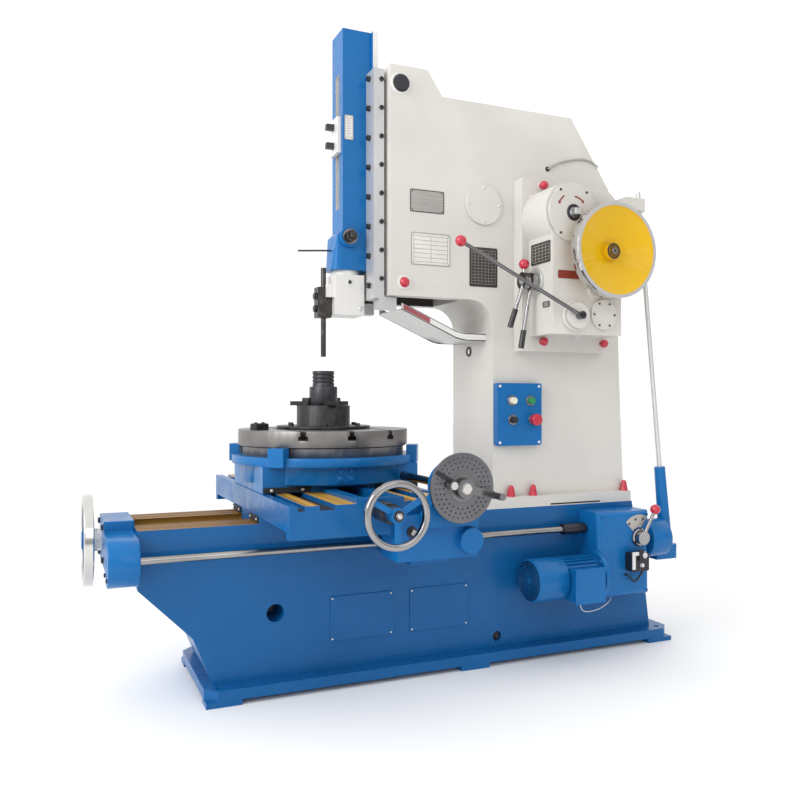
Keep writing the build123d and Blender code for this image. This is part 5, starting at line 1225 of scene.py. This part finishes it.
@dataclass
class Controls(Assembly):
    """Push-button panel and the hand levers."""

    face: float = 0.198
    panel_width: Pair = (0.163, 0.365)
    panel_height: Pair = (0.824, 1.068)
    screw_inset: float = 0.012
    lamp: Pair = (0.228, 1.000)
    green: Pair = (0.311, 1.000)
    black: Pair = (0.231, 0.925)
    stop: Pair = (0.323, 0.925)
    bezel_bore: float = 0.0135
    lens_front: float = -0.2041
    collar_front: float = -0.1982
    upper_knob: float = 1.4975
    upper_grip: float = 1.3455
    lower_grip: float = 1.2675
    clutch_knob: Point = (-0.116, -0.425, 1.554)
    clutch_cap: float = -0.4142
    shift_knob: Point = (0.797, -0.355, 0.565)
    knob_reach: float = 0.0205

    def dresses(self) -> list[Dress]:
        """Finishes the panel, the buttons and the levers.

        Returns:
            What each node wears.
        """
        lens = near_axis(*self.lamp, self.bezel_bore)
        return [
            Dress("control_panel", BLUE, edge=0.002, zones=[
                (LENS, both(short_of(Axis.Y, self.lens_front), lens)),
                (RIM, short_of(Axis.Y, self.collar_front)),
            ]),
            Dress("green_button", GREEN, edge=0.001),
            Dress("black_button", INK, edge=0.001),
            Dress("stop_button", RED, edge=0.0015),
            Dress("selector_lever_upper", RIM, zones=[
                (RED, beyond(Axis.Z, self.upper_knob)),
                (INK, short_of(Axis.Z, self.upper_grip)),
            ]),
            Dress("selector_lever_lower", RIM, zones=[(INK, short_of(Axis.Z, self.lower_grip))]),
            Dress("clutch_lever", LEVER, zones=[
                (RED, ball_of(*self.clutch_knob, self.knob_reach)),
                (GREY, beyond(Axis.Y, self.clutch_cap)),
            ]),
            Dress("feed_shift_lever", RIM, zones=[(RED, ball_of(*self.shift_knob, self.knob_reach))]),
        ]

    def fittings(self) -> list[Shape]:
        """Makes the panel's screws, bezels and lamp.

        Returns:
            The pieces.
        """
        screws = Shape("panel_screws", Body.FRAME, Slot.GROUND_STEEL)
        for spot in corners(self.panel_width, self.panel_height, self.screw_inset):
            screws.dome(Side.FRONT.flank(*spot, self.face), radius=0.006, height=0.003, finish=HEAD)
        bezels = Shape("panel_bezels", Body.FRAME, Slot.POLISHED_STEEL)
        for spot in (self.green, self.black, self.stop, self.lamp):
            bezels.collar(Side.FRONT.flank(*spot, self.face), self.bezel_bore, rim=0.0205, height=0.005,
                          slope=(0.002, 0.002), finish=RIM)
        lamp = Shape("panel_lamp", Body.FRAME, Slot.GREEN_PLASTIC)
        lamp.dome(Side.FRONT.flank(*self.lamp, self.face), radius=0.0132, height=0.011, finish=LENS)
        return [screws, bezels, lamp]


@dataclass
class FeedDrive(Assembly):
    """Feed box, its motor, the shift lever's base, the limit switch and the push rod."""

    box_face: float = 0.330
    box_screws: tuple[Pair, Pair] = ((0.556, 0.774), (0.241, 0.544))
    lid_face: float = 0.424
    lid_screws: tuple[Pair, Pair] = ((0.374, 0.492), (0.248, 0.364))
    hub: Pair = (0.735, 0.455)
    scale_outer: float = 0.090
    scale_inner: float = 0.040
    scale_thick: float = 0.003
    scale_dots: float = 0.074
    dot_angles: tuple[int, ...] = (76, 104, 131)
    motor_axis: Pair = (-0.308, 0.320)
    flange_face: float = 0.522
    flange_bolts: float = 0.084
    cowl_face: float = 0.234
    cowl_skin: float = 0.0005
    guard_rings: tuple[float, ...] = (0.016, 0.026, 0.036, 0.046, 0.056, 0.066)
    guard_bars: int = 24
    bar_middle: float = 0.041
    coupling: float = 0.427
    upper_guide: float = 1.7
    switch: Point = (0.700, -0.372, 0.372)
    switch_bolt: Point = (0.716, -0.372, 0.352)
    switch_knob: Point = (0.722, -0.377, 0.392)
    switch_plate: tuple[Pair, ...] = ((-0.032, -0.034), (-0.018, -0.034), (-0.018, 0.020), (0.016, 0.020),
                                      (0.016, 0.006), (0.030, 0.006), (0.030, 0.034), (-0.032, 0.034))
    trip_rod: tuple[Point, ...] = ((0.668, -0.329, 0.312), (0.668, -0.352, 0.312), (0.699, -0.352, 0.276),
                                   (0.745, -0.352, 0.334))
    oil_pipe: tuple[Point, ...] = ((0.413, -0.385, 0.247), (0.413, -0.385, 0.228), (0.424, -0.383, 0.204),
                                   (0.462, -0.375, 0.195), (0.540, -0.345, 0.194), (0.605, -0.308, 0.203),
                                   (0.630, -0.290, 0.210), (0.630, -0.290, 0.226))
    pipe_root: float = 0.001

    def dresses(self) -> list[Dress]:
        """Paints the housings and finishes the shafts.

        Returns:
            What each node wears.
        """
        # The cowl's end faces behind the fan guard wear the near-black blue as painted shade.
        grille = both(facing(Side.LEFT), short_of(Axis.X, self.cowl_face + self.cowl_skin))
        return [
            Dress("feed_box", BLUE, edge=0.003),
            Dress("feed_motor", BLUE, edge=0.0012, zones=[(SHADE, grille)]),
            Dress("feed_motor_fan", INK),
            Dress("feed_shaft", SHAFT, zones=[(BLACK, beyond(Axis.X, self.coupling))]),
            Dress("limit_switch", BLACK, edge=0.001),
            Dress("push_rod_guides", BLUE, edge=0.002, zones=[(GREY, beyond(Axis.Z, self.upper_guide))]),
            Dress("feed_push_rod", STEEL),
        ]

    def fittings(self) -> list[Shape]:
        """Makes the shift scale, the switch's bracket, the trip rod, screws, fan guard and oil pipe.

        Returns:
            The pieces.
        """
        rod = Shape("trip_rod", Body.FRAME, Slot.BLACK_STEEL)
        rod.rod(self.trip_rod, radius=0.004, finish=BLACK)
        screws = Shape("feed_screws", Body.FRAME, Slot.GROUND_STEEL)
        for spot in corners(*self.lid_screws):
            screws.dome(Side.FRONT.flank(*spot, self.lid_face), radius=0.0045, height=0.0025, finish=BLUE)
        for spot in ring_spots(*self.motor_axis, self.flange_bolts, range(45, 360, 90)):
            screws.hex_bolt(Side.LEFT.at(self.flange_face, *spot), across=0.013, height=0.008, finish=BLUE)
        for spot in corners(*self.box_screws):
            seat = Side.FRONT.flank(*spot, self.box_face)
            screws.socket_screw(seat, radius=0.006, height=0.003, finish=BLUE)
        pipe = Shape("feed_oil_pipe", Body.FRAME, Slot.POLISHED_STEEL)
        pipe.rod(self.oil_pipe, radius=0.0016, finish=PALE_PLATE)
        for x, y, z in (self.oil_pipe[0], self.oil_pipe[-1]):
            pipe.hex_bolt(Side.BOTTOM.at(x, y, z - self.pipe_root), across=0.014, height=0.008, finish=BLUE)
        return [self._shift_scale(), self._switch_bracket(), rod, screws, self._fan_guard(), pipe]

    def _shift_scale(self) -> Shape:
        """Makes the fan-shaped plate behind the shift lever, its dots and its hub.

        Returns:
            The piece.
        """
        scale = Shape("shift_scale", Body.FRAME, Slot.GROUND_STEEL)
        seat = Side.FRONT.flank(*self.hub, self.box_face)
        outer = [polar(self.scale_outer, a) for a in range(64, 142, 6)]
        inner = [polar(self.scale_inner, a) for a in range(140, 62, -13)]
        scale.press(seat, outer + inner, self.scale_thick, PLATE)
        for angle in self.dot_angles:
            dot = shifted(seat, *polar(self.scale_dots, angle), self.scale_thick)
            scale.dome(dot, radius=0.005, height=0.003, finish=BLACK)
        hub = ((0.0125, 0), (0.0125, 0.013), (0.031, 0.013), (0.035, 0.009), (0.036, 0))
        scale.turn(seat, hub, RIM, sides=32, joined=True)
        return scale

    def _switch_bracket(self) -> Shape:
        """Makes the bent plate on the limit switch with its bolt and knob.

        Returns:
            The piece.
        """
        bracket = Shape("switch_bracket", Body.FRAME, Slot.POLISHED_STEEL)
        bracket.press(Side.FRONT.at(*self.switch), self.switch_plate, height=0.005, finish=HEAD)
        bracket.hex_bolt(Side.FRONT.at(*self.switch_bolt), across=0.014, height=0.008, finish=STEEL)
        knob = ((0, 0), (0.010, 0), (0.011, 0.002), (0.011, 0.008), (0.009, 0.010), (0, 0.010))
        bracket.turn(Side.FRONT.at(*self.switch_knob), knob, STEEL)
        return bracket

    def _fan_guard(self) -> Shape:
        """Makes the rings and bars over the end of the motor's cowl.

        Returns:
            The piece.
        """
        foot, crest, lift = 0.0016, 0.0008, 0.002
        guard = Shape("fan_guard", Body.FRAME, Slot.BLUE_PAINT)
        end = Side.LEFT.at(self.cowl_face, *self.motor_axis)
        # The guard's rings and bars wear the darker blue as painted shade.
        for radius in self.guard_rings:
            wire = ((radius - foot, 0), (radius - crest, lift), (radius + crest, lift), (radius + foot, 0))
            guard.turn(end, wire, DARKENED_BLUE, sides=48, joined=True)
        bar = rectangle(0.054, 0.002, corner=0.0005, steps=1)
        for number in range(self.guard_bars):
            spot = shifted(turned(end, 360 * number / self.guard_bars), x=self.bar_middle)
            guard.press(spot, bar, height=0.0018, finish=DARKENED_BLUE, chamfer=0.0004)
        guard.dome(end, radius=0.012, height=0.003, finish=BLUE)
        return guard


@dataclass
class RamHead(Assembly):
    """Ram guide, ram, clamp plate, tool head and tool holder."""

    guide_side: float = 0.140
    side_screw_x: float = -0.2965
    side_screw_low: float = 1.452
    side_screw_pitch: float = 0.1054
    side_screw_count: int = 8
    ram_side: float = 0.060
    ram_back: float = -0.3065
    slot_half: float = 0.0205
    slot_heights: Pair = (1.72, 2.235)
    slot_front: float = -0.4195
    clamp_nuts: float = -0.4365
    scale: Pair = (-0.396, 2.022)
    adjuster: Point = (-0.395, -0.072, 1.612)
    trip_rod: tuple[Point, ...] = ((-0.440, 0.0, 1.5675), (-0.470, 0.0, 1.566), (-0.575, 0.0, 1.558))
    head_side: float = 0.058
    head_bush: Pair = (-0.391, 1.444)
    head_screw: Pair = (-0.347, 1.347)
    holder_face: float = -0.505
    holder_nuts: Pair = (1.392, 1.345)

    def _in_slot(self, centre: Vector, normal: Vector) -> bool:
        """Picks the faces of the slot in the ram's front."""
        low, high = self.slot_heights
        return abs(centre.y) < self.slot_half and low < centre.z < high and centre.x > self.slot_front

    def dresses(self) -> list[Dress]:
        """Finishes the guide as ground iron and paints the ram.

        Returns:
            What each node wears.
        """
        return [
            Dress("ram_guide", GUIDE, edge=0.001),
            Dress("keeper_strips", GUIDE, edge=0.0012),
            Dress("guide_bolts", BLACK),
            Dress("ram", BLUE, edge=0.0015, zones=[
                (HEAD, beyond(Axis.X, self.ram_back)),
                (HEAD, self._in_slot),
            ]),
            Dress("ram_clamp_plate", HEAD, edge=0.001, zones=[(BLACK, short_of(Axis.X, self.clamp_nuts))]),
            Dress("ram_screw", TOOL),
            Dress("ram_adjusting_shaft", TOOL),
            Dress("tool_head", HEAD, edge=0.002),
            Dress("tool_holder", TOOL, edge=0.001),
        ]

    def fittings(self) -> list[Shape]:
        """Makes the guide's side screws, the ram's scale, ring and rod and the tool head's screws.

        Returns:
            The pieces.
        """
        screws = Shape("guide_side_screws", Body.GUIDE, Slot.BLACK_STEEL)
        for number, side in product(range(self.side_screw_count), FLANKS):
            z = self.side_screw_low + self.side_screw_pitch * number
            seat = side.flank(self.side_screw_x, z, self.guide_side)
            screws.socket_screw(seat, radius=0.009, height=0.005, finish=BLACK)
        scale = Shape("ram_scale", Body.RAM, Slot.GROUND_STEEL)
        plate = Side.FRONT.flank(*self.scale, self.ram_side)
        scale.bare_plate(plate, width=0.034, height=0.092, face=HEAD, edge=PLATE)
        scale.ruled(plate, width=0.018, height=0.066, rows=7, columns=1, finish=BLACK)
        ring = Shape("adjuster_ring", Body.RAM, Slot.POLISHED_STEEL)
        seat = Side.FRONT.at(*self.adjuster)
        outer = ((0.029, 0), (0.029, 0.002), (0.035, 0.004), (0.038, 0.002), (0.038, 0))
        inner = ((0.0215, 0), (0.0215, 0.003), (0.0288, 0.003), (0.0288, 0))
        ring.turn(seat, outer, BLUE, sides=36, joined=True)
        ring.turn(seat, inner, LEVER, sides=36, joined=True)
        rod = Shape("ram_trip_rod", Body.RAM, Slot.POLISHED_STEEL)
        rod.rod(self.trip_rod, radius=0.0035, finish=TOOL, smooth=1)
        head = Shape("tool_head_screws", Body.RAM, Slot.BLACK_STEEL)
        seat = Side.FRONT.flank(*self.head_bush, self.head_side)
        head.collar(seat, bore=0.0075, rim=0.012, height=0.002, slope=(0.001, 0.001), finish=STEEL, sides=24)
        head.dome(seat, radius=0.0073, height=0.001, finish=BLACK)
        seat = Side.FRONT.flank(*self.head_screw, self.head_side)
        head.socket_screw(seat, radius=0.008, height=0.006, finish=STEEL)
        tool = Shape("tool_holder_nuts", Body.CLAPPER, Slot.BLACK_STEEL)
        for z in self.holder_nuts:
            tool.hex_bolt(Side.LEFT.at(self.holder_face, 0.0, z), across=0.024, height=0.010, finish=TOOL)
        return [screws, scale, ring, rod, head, tool]


@dataclass
class Saddle(Assembly):
    """Saddle, apron, handwheels and the indexing head."""

    left: float = -0.770
    wiper_sides: Pair = (-0.137, 0.137)
    wiper_height: float = 0.595
    wiper_thick: float = 0.006
    wiper_screws: Pair = (-0.045, 0.045)
    gutter: Pair = (0.660, 0.672)
    cross_ways: Pair = (0.081, 0.244)
    long_axis: float = 0.531
    long_rim: float = 0.1375
    long_back: float = -1.2885
    long_dial: float = -1.2755
    cross_x: float = -0.476
    cross_z: float = 0.658
    cross_rim: float = 0.0835
    cross_back: float = -0.6915
    cross_dial: float = -0.664
    cross_front: float = 0.716
    dial_count: int = 50
    shaft_end: Point = (-0.381, -0.600, 0.588)
    index: Pair = (-0.243, 0.728)
    plate_face: float = 0.678
    blade_angle: float = 150
    blade_middle: float = 0.073
    crank_hub: float = 0.706
    plunger: Pair = (-0.2935, 0.7406)
    plunger_radius: float = 0.0125
    plunger_front: float = -0.6962

    def _on_cross_way(self, centre: Vector, normal: Vector) -> bool:
        """Picks the faces of the ways that the cross slide runs on."""
        inner, outer = self.cross_ways
        return centre.z > self.gutter[1] and inner < abs(centre.x - self.cross_x) < outer

    def _on_long_rim(self, centre: Vector, normal: Vector) -> bool:
        """Picks the rim of the wheel on the bed's end."""
        return hypot(centre.y, centre.z - self.long_axis) > self.long_rim

    def dresses(self) -> list[Dress]:
        """Paints the castings, greases the ways and finishes the wheels.

        Returns:
            What each node wears.
        """
        gutter_low, gutter_high = self.gutter
        gutter = both(facing(Side.TOP), beyond(Axis.Z, gutter_low), short_of(Axis.Z, gutter_high))
        plunger = both(short_of(Axis.Y, self.plunger_front), near_axis(*self.plunger, self.plunger_radius))
        return [
            # The saddle wears the darker blue as painted shade.
            Dress("saddle", DARKENED_BLUE, edge=0.003, zones=[
                (FELT, gutter),
                (CROSS_WAY, both(facing(Side.TOP), self._on_cross_way)),
            ]),
            Dress("apron", BLUE, edge=0.004),
            Dress("index_plate", INDEX, edge=0.0008),
            Dress("index_crank", LEVER, zones=[(CHROME, plunger)]),
            Dress("long_lead_screw", SHAFT),
            Dress("long_handwheel", BLUE, zones=[
                (CHROME, self._on_long_rim),
                (STEEL, beyond(Axis.X, self.long_back)),
            ]),
            Dress("cross_lead_screw", ACROSS),
            Dress("cross_handwheel", BLUE, zones=[
                (RIM, outside(near_axis(self.cross_x, self.cross_z, self.cross_rim))),
                (GEAR, beyond(Axis.Y, self.cross_back)),
            ]),
        ]

    def fittings(self) -> list[Shape]:
        """Makes the wipers, dial marks, the apron's shaft end, the index plate's arm and the nuts.

        Returns:
            The pieces.
        """
        wipers = Shape("saddle_wipers", Body.CARRIAGE, Slot.RUBBER)
        for y in self.wiper_sides:
            face = Side.LEFT.at(self.left, y, self.wiper_height)
            wipers.press(face, rectangle(0.122, 0.020, corner=0.003), self.wiper_thick, FELT, chamfer=0.001)
            for x in self.wiper_screws:
                wipers.dome(shifted(face, x, z=self.wiper_thick), radius=0.0045, height=0.0025, finish=HEAD)
        long_marks = Shape("long_dial_marks", Body.LONG_DRIVE, Slot.BLACK_STEEL)
        dial = Side.RIGHT.at(self.long_dial, 0.0, self.long_axis)
        long_marks.dial_marks(dial, radius=0.037, count=self.dial_count, width=0.020, finish=BLACK)
        cross_marks = Shape("cross_dial_marks", Body.CROSS_DRIVE, Slot.BLACK_STEEL)
        dial = Side.BACK.at(self.cross_x, self.cross_dial, self.cross_z)
        cross_marks.dial_marks(dial, radius=0.031, count=self.dial_count, width=0.018, finish=BLACK)
        end = Shape("apron_shaft_end", Body.CARRIAGE, Slot.POLISHED_STEEL)
        seat = Side.FRONT.at(*self.shaft_end)
        end.collar(seat, bore=0.0102, rim=0.018, height=0.006, slope=(0.001, 0.002), finish=BLACK, sides=28)
        end.stud(seat, radius=0.010, height=0.019, slope=(0.002, 0.002), finish=RIM)
        arm = Shape("index_sector", Body.CARRIAGE, Slot.BLACK_STEEL)
        plate = Side.FRONT.flank(*self.index, self.plate_face)
        arm.collar(plate, bore=0.0345, rim=0.044, height=0.003, slope=(0.001, 0.001), finish=LEVER)
        blade = shifted(turned(plate, self.blade_angle), x=self.blade_middle)
        arm.press(blade, rectangle(0.066, 0.014, corner=0.004), height=0.003, finish=BLACK, chamfer=0.001)
        nut = Shape("cross_wheel_nut", Body.CROSS_DRIVE, Slot.POLISHED_STEEL)
        hub, nut_height = Side.FRONT.flank(self.cross_x, self.cross_z, self.cross_front), 0.010
        nut.stud(hub, radius=0.017, height=0.003, slope=(0.001, 0.001), finish=BLACK)
        nut.press(hub, hexagon(0.022), nut_height, LEVER, chamfer=0.0015)
        nut.dome(shifted(hub, z=nut_height), radius=0.007, height=0.003, finish=CHROME)
        crank_nut = Shape("index_crank_nut", Body.INDEX_DRIVE, Slot.POLISHED_STEEL)
        seat = Side.FRONT.flank(*self.index, self.crank_hub)
        crank_nut.hex_bolt(seat, across=0.028, height=0.009, finish=CHROME)
        return [wipers, long_marks, cross_marks, end, arm, nut, crank_nut]


@dataclass
class RotaryTable(Assembly):
    """Cross slide, rotary table, chuck and the work in it."""

    centre_x: float = -0.476
    slide_face: float = 0.223
    wiper_spots: Pair = (-0.6795, -0.2725)
    wiper_height: float = 0.695
    wiper_thick: float = 0.007
    wiper_screws: Pair = (-0.055, 0.055)
    pad_face: float = 0.310
    pad_bolts: tuple[Pair, Pair] = ((-0.5155, -0.4785), (0.734, 0.760))
    plate_top: float = 0.907
    plate_bolts: float = 0.140
    stop_block: Pair = (-0.735, -0.060)
    stop_angle: float = 24
    stop_height: float = 0.024
    stop_screws: Pair = (-0.016, 0.016)
    table_top: float = 0.895
    table_low: float = 0.839
    skirt: float = 0.300

    def dresses(self) -> list[Dress]:
        """Paints the slide and finishes the table, gears, chuck and work.

        Returns:
            What each node wears.
        """
        return [
            Dress("cross_slide", BLUE, edge=0.003),
            Dress("rotary_table", TABLE, edge=0.0012),
            Dress("worm_wheel", BRONZE),
            Dress("table_worm", GEAR),
            Dress("chuck_body", CHUCK, edge=0.0012),
            *(Dress(f"chuck_jaw_{number}", CHUCK, edge=0.0008) for number in (1, 2, 3)),
            Dress("workpiece_sleeve", BLACK, edge=0.0008),
        ]

    def fittings(self) -> list[Shape]:
        """Makes the way wipers, the bolts, the stop block and the black ring that paints the shadow in the
        gap below the table.

        Returns:
            The pieces.
        """
        wipers = Shape("cross_wipers", Body.CROSS_CARRIAGE, Slot.RUBBER)
        for x, side in product(self.wiper_spots, FLANKS):
            face = side.flank(x, self.wiper_height, self.slide_face)
            wipers.press(face, rectangle(0.165, 0.019, corner=0.003), self.wiper_thick, FELT, chamfer=0.001)
            for across in self.wiper_screws:
                spot = shifted(face, across, z=self.wiper_thick)
                wipers.dome(spot, radius=0.0055, height=0.003, finish=HEAD)
        bolts = Shape("slide_front_bolts", Body.CROSS_CARRIAGE, Slot.BLUE_PAINT)
        for spot in corners(*self.pad_bolts):
            bolts.hex_bolt(Side.FRONT.flank(*spot, self.pad_face), across=0.017, height=0.007, finish=BLUE)
        chuck = Shape("chuck_plate_bolts", Body.TABLE, Slot.BLACK_STEEL)
        for spot in ring_spots(self.centre_x, 0.0, self.plate_bolts, range(15, 375, 60)):
            chuck.socket_screw(Side.TOP.at(*spot, self.plate_top), radius=0.010, height=0.010, finish=BLACK)
        stop = Shape("table_stop_block", Body.TABLE, Slot.BLACK_STEEL)
        block = Side.TOP.at(*self.stop_block, self.table_top, self.stop_angle)
        stop.press(block, rectangle(0.056, 0.038, corner=0.003), self.stop_height, CHUCK, chamfer=0.004)
        for across in self.stop_screws:
            spot = shifted(block, across, z=self.stop_height)
            stop.socket_screw(spot, radius=0.006, height=0.004, finish=BLACK)
        # A black ring below the table's top is a painted shadow in the gap between its band and skirt.
        gap_shadow = Shape("table_seam", Body.TABLE, Slot.BLACK_STEEL)
        inner, outer, drop = self.skirt - 0.001, self.skirt + 0.008, -0.004
        middle = Side.TOP.at(self.centre_x, 0.0, self.table_low)
        gap_shadow.turn(middle, ((inner, drop), (inner, 0), (outer, 0), (outer, drop)), FELT, sides=96, joined=True)
        return [wipers, bolts, chuck, stop, gap_shadow]


@dataclass
class Studio:
    """Floor, soft lights and the camera at the photograph's place."""

    eye: Point = (-1.4263, -2.9058, 1.0022)
    yaw: float = 23.53
    lens: float = 36.33
    sensor: float = 36.0
    far: float = 100.0
    floor_size: float = 60.0
    wall: Point = (-0.35, 0.55, 0.75)
    wall_edge: Pair = (-0.70, 0.05)
    dim: float = 0.22
    bright: float = 1.12
    target: Point = (0.0, 0.0, 1.1)
    softbox: float = 3.0
    key: Point = (-5.2, -1.6, 3.6)
    key_power: float = 160.0
    front: Point = (0.4, -6.4, 3.6)
    front_power: float = 40.0

    def build(self) -> None:
        """Sets the stage."""
        self._floor()
        self._room_light()
        self._hang("key_light", self.key, self.key_power)
        self._hang("front_light", self.front, self.front_power)
        self._camera()

    def _floor(self) -> None:
        """Lays a wide pale floor."""
        half = self.floor_size / 2
        spots = [(-half, -half, 0), (half, -half, 0), (half, half, 0), (-half, half, 0)]
        data = bpy.data.meshes.new("studio_floor")
        data.from_pydata(spots, [], [(0, 1, 2, 3)])
        data.materials.append(FLOOR.material())
        floor = bpy.data.objects.new("studio_floor", data)
        bpy.context.scene.collection.objects.link(floor)

    def _room_light(self) -> None:
        """Lights the room from its pale wall and ceiling."""
        world = bpy.data.worlds.new("studio")
        world.use_nodes = True
        tree = world.node_tree
        sky = tree.nodes["Background"]
        set_sockets(sky, Color=(1.0, 1.0, 1.0, 1.0))
        ways = tree.nodes.new("ShaderNodeTexCoord")
        toward = tree.nodes.new("ShaderNodeVectorMath")
        toward.operation = "DOT_PRODUCT"
        toward.inputs[1].default_value = Vector(self.wall).normalized()
        glow = tree.nodes.new("ShaderNodeMapRange")
        start, end = self.wall_edge
        set_sockets(glow, From_Min=start, From_Max=end, To_Min=self.dim, To_Max=self.bright)
        tree.links.new(ways.outputs["Generated"], toward.inputs[0])
        tree.links.new(toward.outputs["Value"], glow.inputs["Value"])
        tree.links.new(glow.outputs["Result"], sky.inputs["Strength"])
        bpy.context.scene.world = world
        bpy.context.scene.view_settings.view_transform = "Standard"

    def _hang(self, name: str, spot: Point, power: float) -> None:
        """Hangs one square light that looks at the machine's middle.

        Args:
            name: The light's name.
            spot: Where it hangs.
            power: Its power in watts.
        """
        lamp = bpy.data.lights.new(name, "AREA")
        lamp.size = self.softbox
        lamp.energy = power
        box = bpy.data.objects.new(name, lamp)
        box.location = spot
        box.rotation_euler = (Vector(self.target) - Vector(spot)).to_track_quat("-Z", "Y").to_euler()
        bpy.context.scene.collection.objects.link(box)

    def _camera(self) -> None:
        """Stands the camera where the photograph was taken from."""
        lens = bpy.data.cameras.new("photo_camera")
        lens.lens = self.lens
        lens.sensor_width = self.sensor
        lens.clip_end = self.far
        camera = bpy.data.objects.new("photo_camera", lens)
        camera.location = self.eye
        camera.rotation_euler = (radians(90), 0, radians(-self.yaw))
        bpy.context.scene.collection.objects.link(camera)
        bpy.context.scene.camera = camera


def main() -> None:
    """Builds the studio and every sub-assembly."""
    logging.basicConfig(level=logging.INFO, format="%(name)s: %(message)s")
    for assembly in (Bed(), Column(), Gearbox(), Controls(), FeedDrive(), RamHead(), Saddle(), RotaryTable()):
        assembly.build()
    Studio().build()


if __name__ == "__main__":
    main()
